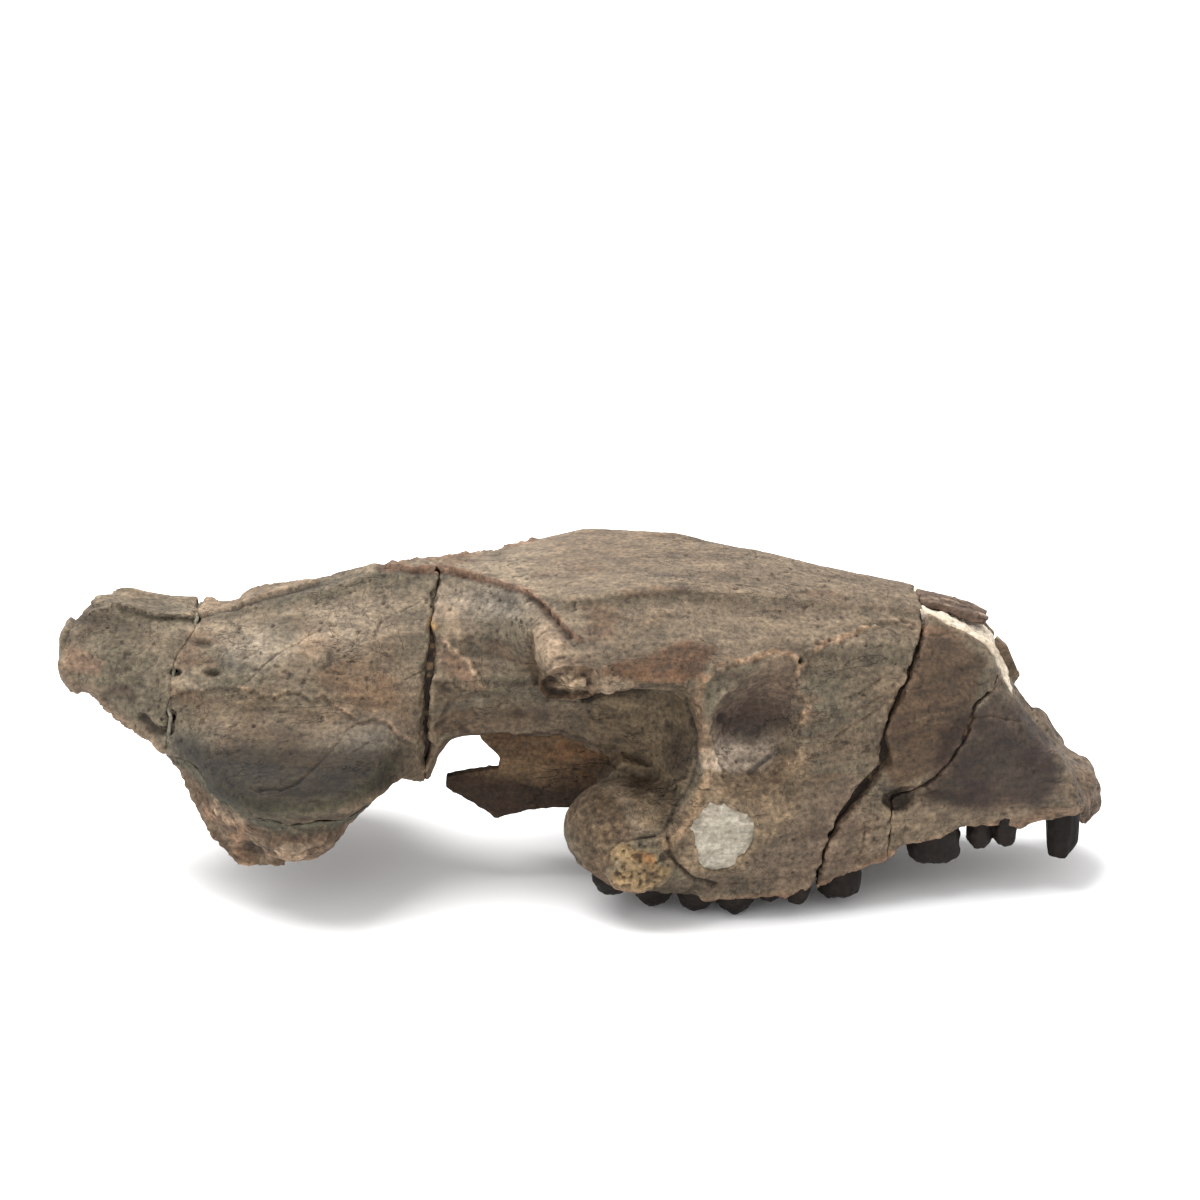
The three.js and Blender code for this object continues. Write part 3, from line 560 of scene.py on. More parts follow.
def face_normals(points, quads):
    p = points[quads]
    n = np.cross(p[:, 2] - p[:, 0], p[:, 3] - p[:, 1])
    out = [sum(np.bincount(quads[:, c], n[:, k], len(points)) for c in range(4)) for k in range(3)]
    out = np.stack(out, 1)
    return (out / np.maximum(np.linalg.norm(out, axis=1, keepdims=True), 1e-9)).astype(F)


def skin_of(field, xs, ys, zs):
    """The largest piece of a field's surface, with its normals."""
    points, quads = largest_part(*surface_net(field, xs, ys, zs))
    return points, quads, face_normals(points, quads)


def hollowness(points, normals, quads, rounds):
    """Above 0 in creases and hollows and below 0 on ridges, in millimetres."""
    soft = points
    for _ in range(rounds):
        soft = neighbour_mean(soft, quads)
    return ((soft - points) * normals).sum(1)


# Marks on the bone. Shares run from 0 to 1 and heights are in millimetres; functions of d draw on a Skin.


def fade(value, full, none):
    """1 at full and beyond, 0 at none and beyond, smooth between; full may be below or above none."""
    t = np.clip((value - none) / (full - none), 0, 1)
    return t * t * (3 - 2 * t)


def shaded(base, share, factor):
    """Multiplies a colour by factor where share is 1."""
    return base * (1 + (np.asarray(factor, F) - 1) * np.clip(share, 0, 1)[:, None])


def plain(colour, p):
    """One colour for all points."""
    return np.tile(np.array(colour, F), (len(p), 1))


def mixed(base, colour, share):
    share = np.broadcast_to(np.clip(share, 0, 1), len(base))
    return base + (np.array(colour, F) - base) * share[:, None]


# The near-black painted into the deepest holes as their shade, as light reflected in red, green and blue.
HOLE_SHADE = (0.045, 0.032, 0.024)
BONE_TONE = np.array([0.565, 0.50, 0.435], F)


class Skin:
    """The points of a surface with their normals, the height to add along each and their colour. Marks are
    drawn on it as on a plate: (u, v) is where a point falls in a drawing of the side, seen from VIEW_RISE
    above, 5 units to a millimetre, u to the snout and v down. Both sides share the drawing."""

    def __init__(self, p, n, height, tint):
        self.p, self.n, self.height, self.tint = p, n, height, tint
        depth = -np.abs(p[:, 1])
        x, z = p[:, 0] - DRAWING_CENTRE[0], p[:, 2] - DRAWING_CENTRE[1]
        away = VIEW_DISTANCE + math.cos(VIEW_RISE) * depth - math.sin(VIEW_RISE) * z
        scale = DRAWING_SCALE * VIEW_DISTANCE
        self.u = DRAWING_MIDDLE + scale * x / away
        self.v = DRAWING_MIDDLE - scale * (math.sin(VIEW_RISE) * depth + math.cos(VIEW_RISE) * z) / away
        outward = np.abs(n[:, 1]) * math.cos(VIEW_RISE) * np.sign(n[:, 1] * p[:, 1])
        self.seen = fade(outward + n[:, 2] * math.sin(VIEW_RISE), 0.22, -0.04)
        self.wander = 1.6 * noise(p, 2.2, 5) + 2.2 * noise(p, 6, 1)
        self.wander2 = 1.6 * noise(p, 2.4, 2) + 2.2 * noise(p, 6.5, 4)

    def near(self, line, reach):
        line = np.array(line, float)
        low, high = line.min(0) - reach, line.max(0) + reach
        across, down = (self.u > low[0]) & (self.u < high[0]), (self.v > low[1]) & (self.v < high[1])
        return across & down & (self.seen > 0)

    def line(self, points, full, none, waver=0.5):
        """1 within full of a line, 0 beyond none."""
        out = np.zeros(len(self.p), F)
        m = self.near(points, none + 6)
        u, v = self.u[m] + waver * self.wander[m], self.v[m] + waver * self.wander2[m]
        out[m] = fade(line_gap(u, v, points)[0], full, none) * self.seen[m]
        return out

    def beside(self, points, wide, waver=0.5):
        """From -1 just on the left of a line (its upper side, if it runs to the snout) to 1 on its right,
        falling off to 0 at wide."""
        out = np.zeros(len(self.p), F)
        m = self.near(points, wide + 6)
        u, v = self.u[m] + waver * self.wander[m], self.v[m] + waver * self.wander2[m]
        points = np.array(points, float)
        gap, along = line_gap(u, v, points)
        side = np.zeros(len(u), F)
        best = np.full(len(u), 1e9)
        for a, b in zip(points[:-1], points[1:]):
            d = b - a
            t = np.clip(((u - a[0]) * d[0] + (v - a[1]) * d[1]) / (d @ d), 0, 1)
            away = np.hypot(u - a[0] - t * d[0], v - a[1] - t * d[1])
            turn = np.sign(d[0] * (v - a[1]) - d[1] * (u - a[0]))
            side = np.where(away < best, turn, side)
            best = np.minimum(best, away)
        ends = fade(along, 0.04, 0) * fade(along, 0.96, 1)
        out[m] = side * fade(gap, 0, wide) * self.seen[m] * ends
        return out

    def oval(self, u, v, ru, rv, turn=0.0, soft=0.5, waver=0.6):
        c, s = math.cos(turn), math.sin(turn)
        du, dv = self.u + waver * self.wander - u, self.v + waver * self.wander2 - v
        r = np.hypot((c * du + s * dv) / ru, (c * dv - s * du) / rv)
        return fade(r, 1 - soft, 1 + soft) * self.seen

    def area(self, outline, soft=6.0, waver=1.0):
        out = np.zeros(len(self.p), F)
        m = self.near(outline, soft + 8)
        u, v = self.u[m] + waver * self.wander[m], self.v[m] + waver * self.wander2[m]
        out[m] = fade(polygon(u, v, outline), -soft, soft) * self.seen[m]
        return out

    def paint(self, colour, share):
        self.tint = mixed(self.tint, colour, share)

    def stain(self, colour, amount, *oval):
        """Paints an oval."""
        self.paint(colour, amount * self.oval(*oval))

    def mark(self, share, rise, colour, amount):
        """Raises the surface, or sinks it where rise is below 0, and paints it at once."""
        self.height += rise * share
        self.paint(colour, amount * share)

    def shade(self, share, factor):
        self.tint = shaded(self.tint, share, factor)


def cranial_marks(d):
    """Rear half: crest, squamosal, sutures and pits."""
    p = d.p
    blotch = fbm(p, (11, 10, 8), 3, 2)
    crest = [(60, 652), (66, 626), (89, 604), (117, 605), (142, 612), (158, 616), (196, 617), (212, 613),
        (235, 608), (262, 598), (290, 590), (330, 578), (372, 566)]
    side = d.beside(crest, 14, 0.4)
    d.height += 0.45 * np.clip(-side, 0, 1) ** 2 - 0.6 * np.clip(side, 0, 1) ** 1.5
    # Painted shadow under the ledge of the crest.
    d.paint((0.10, 0.083, 0.062), 0.7 * np.clip(side, 0, 1) ** 1.3)
    d.paint((0.27, 0.205, 0.15), 0.6 * np.clip(-side, 0, 1))
    wing = d.area([(50, 600), (160, 590), (196, 600), (170, 690), (165, 745), (130, 730), (50, 690)], 5)
    d.paint((0.165, 0.15, 0.115), 0.75 * wing)
    d.height -= 1.5 * d.oval(108, 628, 34, 15, 0.15, 0.8)
    d.stain((0.085, 0.066, 0.05), 0.75, 86, 624, 20, 12, -0.6, 0.7)
    d.stain((0.29, 0.245, 0.185), 0.6, 155, 640, 24, 12, 0.1, 0.8)
    d.paint((0.30, 0.20, 0.15), 0.55 * d.area([(62, 642), (84, 650), (104, 664), (98, 676), (66, 668)], 5))
    ribs = np.abs(noise(p, (12, 12, 1.3), 4))
    d.height += 0.5 * ribs * d.area([(62, 642), (84, 650), (110, 668), (104, 690), (66, 686)], 6)
    rim = d.line([(62, 665), (72, 687), (94, 690), (104, 705), (121, 720), (150, 740), (176, 764), (190, 790),
        (198, 812)], 2, 10)
    d.mark(rim, 0.5, (0.235, 0.175, 0.13), 0.6)
    d.paint((0.07, 0.05, 0.04), 0.7 * d.line([(108, 692), (122, 688), (133, 699)], 1.5, 7))
    hollow = d.line([(142, 718), (150, 727), (160, 732), (168, 729), (171, 715)], 1.2, 7)
    d.mark(hollow, -1.2, (0.06, 0.045, 0.036), 0.7)
    for u, v, ru, rv, deep, dark in ((196, 617, 3, 5, 1.6, 0.95), (203, 644, 9, 4, 0.8, 0.45),
            (175, 672, 6, 3.6, 1.3, 0.7), (211, 673, 7, 3.6, 1.2, 0.7), (170, 718, 2.4, 14, 0.7, 0.5)):
        pit_mark = d.oval(u, v, ru, rv, 0, 0.6, 0.25)
        d.height -= deep * pit_mark
        d.paint((0.06, 0.052, 0.042), dark * pit_mark)

    # Sheets of colour over the braincase, and a painted highlight on its bulge
    # Painted highlight: a pale pool on the bulge of the braincase.
    d.stain((0.40, 0.36, 0.30), 0.8, 262, 648, 26, 17, -0.3, 0.8)
    d.stain((0.36, 0.31, 0.245), 0.6, 350, 625, 44, 20, -0.3, 0.8)
    d.stain((0.13, 0.12, 0.09), 0.6, 284, 632, 20, 12, -0.4, 0.7)
    d.stain((0.125, 0.115, 0.088), 0.5, 300, 596, 60, 9, -0.25, 0.7)
    warm = d.area([(262, 690), (278, 662), (320, 645), (352, 655), (395, 676), (408, 720), (372, 714),
        (320, 690)], 9)
    d.paint((0.175, 0.115, 0.072), 0.75 * warm * fade(blotch, -0.5, 0.2))
    d.paint((0.33, 0.25, 0.175), 0.6 * warm * fade(blotch, 0.5, -0.1))
    d.paint((0.15, 0.105, 0.065), 0.7 * d.oval(250, 715, 70, 26, 0.1, 0.7) * fade(blotch, -0.5, 0.3))
    for u, v, ru, rv, turn in ((185, 748, 20, 13, 0.5), (250, 772, 52, 16, 0.15), (372, 742, 34, 20, -0.2),
            (232, 660, 14, 12, 0)):
        d.stain((0.125, 0.122, 0.108), 0.75, u, v, ru, rv, turn, 0.8)
    d.stain((0.07, 0.062, 0.048), 0.75, 330, 782, 60, 14, -0.25, 0.8)
    d.stain((0.10, 0.078, 0.05), 0.5, 270, 745, 40, 22, 0.3, 0.8)

    # Sutures and cracks
    squama = [(171, 696), (186, 690), (200, 691), (222, 687), (246, 689), (256, 692), (262, 697), (275, 697),
        (287, 691), (300, 692), (312, 702), (323, 694), (331, 703), (345, 710), (354, 717), (361, 722),
        (375, 718), (390, 724), (400, 736), (414, 742)]
    seam = d.beside(squama, 9, 0.3)
    d.height += 0.26 * np.clip(-seam, 0, 1) ** 2 - 0.2 * np.clip(seam, 0, 1) ** 2
    ruffle = d.line(squama, 1, 9)
    d.height += 0.25 * ruffle * noise(p, 1.6, 3)
    patchy = fade(noise(p, 3, 5), -0.5, 0.3)
    d.paint((0.46, 0.34, 0.25), 0.8 * patchy * d.line(squama, 0.5, 2.4, 0.7))
    # Painted shadow: a thin dark line just below the raised edge of the suture.
    d.paint((0.08, 0.058, 0.042), 0.35 * d.line([(u, v + 3.4) for u, v in squama], 0.3, 2.0, 0.3))
    long_crack = [(360, 722), (345, 733), (335, 745), (322, 762), (308, 775), (296, 785), (280, 790),
        (262, 790)]
    for points, wide in (
            ([(248, 682), (262, 667), (275, 653), (290, 648), (302, 640), (322, 631)], 1.0),
            ([(325, 627), (340, 638), (365, 648), (385, 655), (400, 664), (412, 674)], 0.9),
            (long_crack, 1.2),
            ([(400, 612), (412, 606), (420, 600)], 0.7),
            ([(352, 752), (360, 748), (368, 744)], 0.5),
            ([(404, 680), (416, 672), (424, 668)], 0.7),
            ([(238, 660), (247, 656), (256, 652)], 0.6)):
        d.height -= 0.25 * d.line(points, 0.3 * wide, 1.9 * wide, 0.8)
        d.paint((0.06, 0.045, 0.034), 0.7 * patchy * d.line(points, 0.2, 1.3 * wide, 0.8))
        beside = [(u - 1, v - 1.4) for u, v in points]
        d.paint((0.36, 0.29, 0.21), 0.4 * (1 - patchy) * d.line(beside, 0.3, 1.6, 0.8))

    # The rim of the squamosal
    rim_line = [(196, 788), (214, 797), (235, 806), (262, 815), (300, 817), (330, 812), (352, 800),
        (372, 791), (390, 775)]
    band = d.line([(u, v - 8) for u, v in rim_line], 2, 13)
    d.mark(band, 0.45, (0.125, 0.125, 0.085), 0.85)


def temple_marks(d):
    """Between the first break and the eye: temporal ridge, the process behind the eye and its broken end."""
    p = d.p
    blotch = fbm(p, (7, 6, 5), 3, 2)
    grain = noise(p, 1.2, 6)
    ridge = [(372, 562), (395, 566), (415, 569), (440, 569), (465, 573), (490, 580), (512, 587), (530, 594),
        (545, 605), (555, 617), (565, 629), (578, 641)]
    side = d.beside(ridge, 13, 0.3)
    d.height += 0.7 * d.line(ridge, 0.3, 5, 0.4) * (0.7 + 0.7 * grain)
    d.height -= 1.1 * np.clip(side, 0, 1) ** 1.6
    # Painted shadow under the overhang of the temporal ridge.
    d.paint((0.065, 0.052, 0.042), 0.8 * np.clip(side, 0, 1) ** 1.2)
    d.paint((0.19, 0.115, 0.08), 0.8 * d.line(ridge, 0.8, 5.5, 0.9))
    # Painted shade, broken up by blotches, where the bone turns away towards the process behind the eye.
    dark = d.area([(445, 585), (505, 590), (538, 612), (534, 690), (500, 690), (480, 655), (455, 640)], 9)
    d.paint((0.145, 0.125, 0.104), 0.6 * dark * fade(blotch, -0.7, 0.3))
    d.stain((0.36, 0.32, 0.27), 0.6, 468, 600, 26, 15, 0.2, 0.8)
    d.stain((0.22, 0.215, 0.20), 0.6, 500, 604, 26, 16, 0.3, 0.8)
    d.paint((0.40, 0.33, 0.25), 0.7 * d.area([(441, 604), (456, 606), (462, 640), (446, 632)], 6))
    d.paint((0.30, 0.20, 0.145), 0.6 * d.area([(436, 650), (465, 660), (480, 690), (450, 676)], 5))
    scar = [(443, 636), (450, 649), (461, 655), (471, 664), (477, 679), (484, 687)]
    d.height += 0.8 * d.line(scar, 0.5, 5) * (0.5 + grain)
    d.paint((0.44, 0.34, 0.25), 0.7 * d.line(scar, 0.6, 4.5, 0.8) * fade(grain, 0, -0.5))
    pale = d.oval(551, 650, 14, 20, -0.35, 0.8)
    d.height += 1.1 * pale
    d.paint((0.40, 0.32, 0.24), 0.85 * pale * (0.8 + 0.4 * blotch))
    groove = d.line([(531, 640), (533, 660), (537, 680)], 1.5, 8)
    d.mark(groove, -0.7, (0.13, 0.09, 0.055), 0.7)
    # the broken end: a raised ring with two hollows
    ring = [(541, 676), (552, 671), (566, 670), (580, 669), (592, 671), (595, 683), (589, 692), (570, 697),
        (548, 697), (541, 688), (541, 676)]
    inside = d.area(ring, 1.5, 0.3)
    d.height += 0.9 * d.line(ring, 0.8, 4, 0.3)
    d.height -= 1.2 * inside * fade(grain, -0.9, 0.9)
    d.paint((0.16, 0.12, 0.085), 0.9 * inside)
    d.stain((0.36, 0.29, 0.21), 0.9, 574, 682, 16, 8, -0.05, 0.5)
    d.stain((0.15, 0.11, 0.08), 0.9, 549, 684, 7.5, 9, 0, 0.5)
    d.height -= 0.4 * d.oval(549, 684, 7, 8.5, 0, 0.5)
    d.paint((0.17, 0.115, 0.075), 0.7 * d.line(ring, 0.6, 2.8, 0.3))
    for u, v, ru, rv, deep in ((444, 689, 9, 6, 1.3), (462, 727, 6, 4, 0.7), (441, 726, 3, 8, 0.7),
            (519, 714, 8, 5, 0.8), (450, 704, 2.6, 9, 0.4)):
        hole = d.oval(u, v, ru, rv, 0.5, 0.8, 1.6) * (0.75 + 0.5 * grain)
        d.height -= deep * hole
        d.paint((0.055, 0.042, 0.032), 0.8 * hole)
    for u, v, ru, rv in ((431, 625, 5, 4), (429, 618, 3, 3)):
        d.stain((0.36, 0.24, 0.10), 0.8, u, v, ru, rv, 0.2, 0.5, 0.9)
    lower = d.area([(470, 695), (540, 705), (600, 700), (640, 720), (620, 770), (590, 795), (500, 800),
        (480, 740)], 8)
    d.paint((0.135, 0.108, 0.08), 0.7 * lower)
    d.stain((0.25, 0.23, 0.19), 0.6, 478, 700, 9, 4, 0.2, 0.6)
    d.stain((0.17, 0.155, 0.13), 0.7, 540, 762, 46, 14, 0.35, 0.8)
    d.stain((0.05, 0.038, 0.03), 0.8, 590, 768, 18, 9, 0.5, 0.7)
    for points in (
            [(497, 746), (508, 750), (518, 747), (527, 748)],
            [(500, 735), (530, 733), (562, 730), (585, 738)],
            [(560, 700), (580, 703), (600, 690)],
            [(600, 745), (612, 768), (634, 778)]):
        d.height -= 0.25 * d.line(points, 0.3, 2.6, 1)
        d.paint((0.06, 0.045, 0.034), 0.6 * d.line(points, 0.3, 2.2, 1))


def eye_and_cheek_marks(d):
    """The eye socket, the pit before it, the crumbly bone under them and the torn root of the cheek arch."""
    p = d.p
    blotch, lump = fbm(p, (6, 6, 5), 3, 2), fbm(p, (2.6, 2.6, 2.2), 2, 5)
    grain = np.clip(noise(p, 1.1, 6) + 0.5 * noise(p, 0.7, 2), -1, 1)
    # granular band over the eye
    brow = d.area([(590, 672), (612, 664), (650, 654), (690, 640), (716, 648), (702, 676), (680, 683),
        (640, 684), (600, 694)], 5)
    d.height += brow * (0.15 + 0.2 * grain + 0.2 * lump)
    d.paint((0.20, 0.128, 0.084), 0.85 * brow * fade(0.5 * grain + blotch, 0.7, -0.4))
    d.paint((0.40, 0.32, 0.24), 0.5 * brow * fade(grain, 0.4, 0.8))
    edge = [(578, 698), (597, 693), (620, 687), (645, 684), (668, 682), (690, 686)]
    lip = d.beside(edge, 12, 0.3)
    d.height += 0.6 * np.clip(-lip, 0, 1) ** 2 - 1.6 * np.clip(lip, 0, 1) ** 1.4
    # Painted shadow under the edge over the eye socket.
    d.paint((0.06, 0.05, 0.038), 0.75 * np.clip(lip, 0, 1))
    socket = d.area([(598, 695), (690, 688), (698, 725), (697, 765), (684, 792), (664, 830), (640, 826),
        (630, 790), (600, 760), (590, 720)], 7)
    d.paint((0.175, 0.142, 0.102), 0.8 * socket)
    d.height += 0.2 * socket * lump
    d.stain((0.045, 0.034, 0.027), 0.85, 680, 755, 13, 22, -0.1, 0.7)
    d.stain((0.08, 0.062, 0.048), 0.5, 640, 783, 26, 7, 0.2, 0.8)
    d.stain((0.33, 0.28, 0.215), 0.75, 648, 812, 10, 20, 0.25, 0.8)
    for points, dark in (
            ([(683, 690), (690, 714), (697, 735), (696, 762), (686, 790), (672, 812), (662, 832)], 0.55),
            ([(648, 790), (668, 788), (686, 776)], 0.6),
            ([(600, 712), (625, 730), (650, 748)], 0.15)):
        d.height += 0.6 * dark * d.beside(points, 7, 0.8)
        d.paint((0.055, 0.042, 0.032), dark * d.line(points, 0.3, 2.6, 0.9))
    # front edge of the eye socket
    front = [(702, 678), (699, 700), (703, 722), (704, 745), (709, 762), (706, 782), (697, 806), (684, 828),
        (668, 846)]
    rim = d.line(front, 0.8, 7.5, 0.8)
    d.height += rim * (0.5 + 0.35 * grain + 0.35 * lump)
    d.paint((0.42, 0.33, 0.235), 0.8 * rim * fade(grain + 0.6 * lump, -0.2, 0.5))
    d.paint((0.10, 0.068, 0.046), 0.7 * rim * fade(grain, -0.2, -0.6))
    # the pit: its edges are crisp behind and below
    bowl = [(740, 682), (722, 694), (711, 712), (708, 732), (711, 750), (717, 766), (724, 774)]
    side = d.beside(bowl, 9, 0.3)
    d.height += 0.6 * np.clip(side, 0, 1) ** 2 - 0.5 * np.clip(-side, 0, 1) ** 1.5
    bowl_all = d.area([(712, 715), (728, 688), (768, 657), (796, 664), (801, 700), (790, 735), (768, 765),
        (740, 776), (716, 765)], 6)
    d.paint((0.21, 0.165, 0.13), 0.6 * bowl_all)
    # Painted light and shade in the pit: a pale pool of light on its lower floor, and painted shade in its
    # deep upper part.
    d.stain((0.74, 0.68, 0.60), 0.85, 736, 757, 30, 22, -0.45, 0.65, 1.6)
    deep = d.oval(754, 712, 46, 27, -0.4, 0.55, 2.2) * bowl_all
    d.paint((0.058, 0.040, 0.036), 0.88 * deep * (0.85 + 0.3 * blotch))
    d.stain((0.17, 0.125, 0.095), 0.6, 783, 680, 16, 20, 0.3, 0.8, 1.5)
    d.stain((0.03, 0.022, 0.02), 0.8, 722, 717, 4, 6, 0.2, 0.5)
    d.height -= 0.6 * d.oval(722, 717, 4, 6, 0.2, 0.5)
    scratch = [(750, 772), (760, 763), (769, 756)]
    d.paint((0.115, 0.12, 0.13), 0.7 * d.line(scratch, 1.2, 4))
    d.height -= 0.25 * d.line(scratch, 1, 4)
    seam = [(704, 678), (722, 668), (746, 660), (768, 651), (788, 655), (803, 662), (810, 653), (822, 645),
        (842, 640), (866, 628), (892, 622), (916, 624)]
    corner = [(803, 662), (797, 674), (800, 692), (806, 704), (802, 716), (796, 730)]
    patchy = fade(noise(p, 2.6, 5), -0.2, 0.5)
    for points, amount in ((seam, 0.45), (corner, 0.6)):
        d.height += amount * d.line(points, 0.6, 7, 0.9) * (0.3 + 1.3 * grain)
        d.paint((0.45, 0.325, 0.225), 0.8 * patchy * d.line(points, 0.6, 4.5, 1.3))
        # Painted shadow: a thin dark line just below each raised seam.
        beside = [(u + 1, v + 3) for u, v in points]
        d.height -= 0.15 * d.line([(u, v + 1) for u, v in beside], 0.3, 2.4, 0.9)
        d.paint((0.08, 0.056, 0.04), 0.45 * (1 - patchy) * d.line(beside, 0.3, 2.4, 1.2))
    # crumbly bone round the patch of rock
    crumbs = d.area([(706, 770), (735, 777), (760, 770), (806, 752), (800, 790), (798, 812), (770, 845),
        (740, 872), (704, 876), (672, 868), (660, 838), (690, 800)], 6)
    d.height += crumbs * (0.55 * lump + 0.16 * grain)
    band = d.area([(706, 768), (735, 778), (766, 772), (800, 752), (806, 776), (790, 800), (760, 812),
        (740, 800), (712, 802), (698, 792)], 5, 1.4)
    d.paint((0.145, 0.102, 0.062), 0.8 * band * fade(lump + 0.6 * grain, 0.2, -0.4))
    d.paint((0.34, 0.27, 0.19), 0.6 * band * fade(lump + 0.6 * grain, 0.3, 0.8))
    d.paint((0.15, 0.118, 0.078), 0.7 * crumbs * fade(lump, -0.1, -0.6))
    d.paint((0.33, 0.26, 0.185), 0.6 * crumbs * fade(lump, 0.1, 0.6))
    fold = [(808, 750), (796, 765), (776, 784), (760, 802)]
    d.paint((0.24, 0.155, 0.095), 0.4 * d.line(fold, 1, 9, 1.8) * fade(grain, -0.4, 0.4))
    d.height += 0.35 * d.line(fold, 0.8, 8, 1.6) * (0.4 + grain)
    # the broken root of the cheek arch
    end = [(608, 860), (613, 847), (630, 840), (650, 842), (664, 838), (670, 850), (674, 862), (668, 876),
        (655, 886), (635, 890), (617, 885), (609, 873)]
    torn = d.area(end, 3, 0.7)
    pores = fade(noise(p, 1.1, 1) + 0.8 * noise(p, 0.8, 4), 0.6, 0.1)
    d.height += 0.4 * d.line(end + end[:1], 0.8, 4, 0.5) - torn * (0.25 + 0.6 * pores - 0.4 * lump)
    end_edge = [(608, 862), (611, 850), (622, 841), (640, 838), (656, 836)]
    d.height -= 0.5 * d.line(end_edge, 0.3, 2.2)
    d.paint((0.05, 0.036, 0.026), 0.8 * d.line(end_edge, 0.3, 2))
    d.paint((0.44, 0.37, 0.27), 0.8 * torn * fade(lump + blotch, -0.6, 0.3))
    d.paint((0.28, 0.20, 0.10), 0.6 * torn * fade(blotch, 0.1, 0.5))
    d.paint((0.33, 0.165, 0.06), 0.7 * d.oval(650, 856, 14, 9, 0.2, 0.6) * fade(blotch, 0, 0.3))
    d.paint((0.07, 0.05, 0.036), 0.6 * torn * pores)
    knob = d.area([(566, 822), (575, 800), (600, 790), (625, 806), (632, 836), (612, 845), (606, 880),
        (588, 872)], 7)
    d.height += knob * (0.45 * lump + 0.3 * grain)
    d.tint = d.tint * (1 + 0.7 * knob * grain)[:, None]
    d.paint((0.10, 0.074, 0.05), 0.75 * knob)
    d.paint((0.22, 0.165, 0.115), 0.6 * knob * fade(lump, 0, 0.5))
    split = [(668, 838), (671, 855), (680, 866), (694, 879), (716, 885)]
    d.height -= 0.9 * d.line(split, 0.5, 3)
    d.paint((0.055, 0.04, 0.03), 0.75 * d.line(split, 0.4, 2.4))
    # smooth bone over the teeth
    lower = d.area([(700, 876), (745, 866), (790, 820), (850, 770), (870, 800), (850, 868), (800, 890),
        (700, 896)], 8)
    d.paint((0.175, 0.145, 0.118), 0.75 * lower)
    for area, factor in ((rim, (1.25, 1.2, 1.15)), (knob, (0.88, 0.86, 0.80)), (torn, (1.12, 1.1, 1.04)),
            (socket, (1.05, 1.03, 0.97)), (lower, (1.08, 1.04, 1.0))):
        d.shade(area, factor)


def snout_marks(d):
    """The front of the face: its dark wedge, the plum-coloured tip, cracks and the edge over the teeth."""
    p = d.p
    blotch, lump = fbm(p, (7, 6, 5), 3, 2), fbm(p, (2.4, 2.4, 2), 2, 5)
    grain = noise(p, 1.1, 6)
    wedge = d.area([(925, 622), (985, 660), (975, 700), (950, 760), (895, 790), (885, 770), (888, 715),
        (908, 680)], 5)
    d.paint((0.118, 0.083, 0.058), 0.8 * wedge)
    d.shade(wedge, (0.8, 0.76, 0.71))
    warm = [(922, 622), (950, 628), (962, 640), (940, 638), (924, 634)]
    d.paint((0.33, 0.22, 0.155), 0.65 * d.area(warm, 3))
    dark = d.area([(968, 712), (995, 694), (1030, 712), (1052, 745), (1062, 790), (1040, 806), (985, 815),
        (915, 812), (905, 795), (950, 755)], 7)
    d.paint((0.060, 0.044, 0.042), 0.92 * dark * fade(blotch, 1.0, -0.4))
    d.stain((0.105, 0.085, 0.068), 0.6, 1000, 735, 34, 9, 0.5, 0.7)
    edge = d.line([(992, 688), (1008, 699), (1026, 708), (1042, 724), (1050, 742), (1064, 764), (1080, 778)],
        2, 8)
    d.mark(edge, 0.4, (0.17, 0.135, 0.105), 0.7)
    d.stain((0.17, 0.12, 0.082), 0.8, 1085, 785, 20, 17, 0.3, 0.7)
    d.paint((0.24, 0.20, 0.15), 0.7 * d.area([(885, 812), (925, 800), (985, 808), (1030, 806), (1036, 816),
        (985, 826), (940, 836), (900, 842), (870, 866), (862, 840)], 6))
    d.paint((0.055, 0.05, 0.042), 0.6 * d.oval(960, 805, 26, 9, 0.1, 0.7) * fade(blotch, 0, 0.4))
    d.height += 0.35 * lump * d.area([(862, 830), (940, 826), (985, 812), (1040, 806), (1040, 824),
        (940, 848), (860, 880)], 7)
    tip = d.area([(1078, 812), (1104, 790), (1106, 806), (1090, 828), (1078, 828)], 3)
    d.height -= 0.7 * tip * fade(grain, -0.4, 0.5)
    d.paint((0.10, 0.07, 0.05), 0.7 * tip)
    for points, wide in (
            ([(838, 735), (856, 722), (875, 712), (890, 700)], 0.9),
            ([(848, 712), (868, 704), (886, 694)], 0.8),
            ([(915, 722), (930, 716), (948, 711)], 0.8),
            ([(822, 745), (850, 728), (872, 714)], 0.8),
            ([(926, 634), (940, 635), (958, 632)], 0.9),
            ([(905, 692), (920, 686), (930, 676)], 0.7),
            ([(838, 700), (860, 694), (880, 680)], 0.7),
            ([(830, 735), (800, 738), (790, 725)], 0.8),
            ([(812, 722), (836, 714), (852, 705), (870, 690), (884, 676)], 1.1),
            ([(808, 722), (820, 735), (846, 726), (864, 715)], 0.9),
            ([(958, 720), (990, 716), (1020, 722)], 0.6),
            ([(902, 840), (906, 822), (903, 806)], 1.0)):
        d.height -= 0.3 * d.line(points, 0.4, 2.2 * wide, 0.4)
        d.paint((0.34, 0.27, 0.20), 0.6 * d.line(points, 0.3, 1.7 * wide, 0.4))
    alveoli = [(590, 876), (620, 891), (660, 899), (700, 903), (760, 899), (800, 896), (830, 882), (860, 870),
        (900, 852), (940, 842), (970, 830), (1020, 823), (1045, 812), (1080, 812)]
    edge = d.line(alveoli, 1.5, 8)
    d.paint((0.27, 0.175, 0.12), 0.5 * edge)
    d.height += 0.4 * edge * (0.4 + lump)
    # Painted shade in the nerve hole in the side of the snout: it is sunk a little and darkened.
    pocket = [(883, 789), (890, 786), (905, 787), (914, 792), (906, 806), (894, 810), (884, 803)]
    pocket = d.area(pocket, 2.2, 0.4)
    d.mark(pocket, -0.2, (0.06, 0.05, 0.043), 0.75)


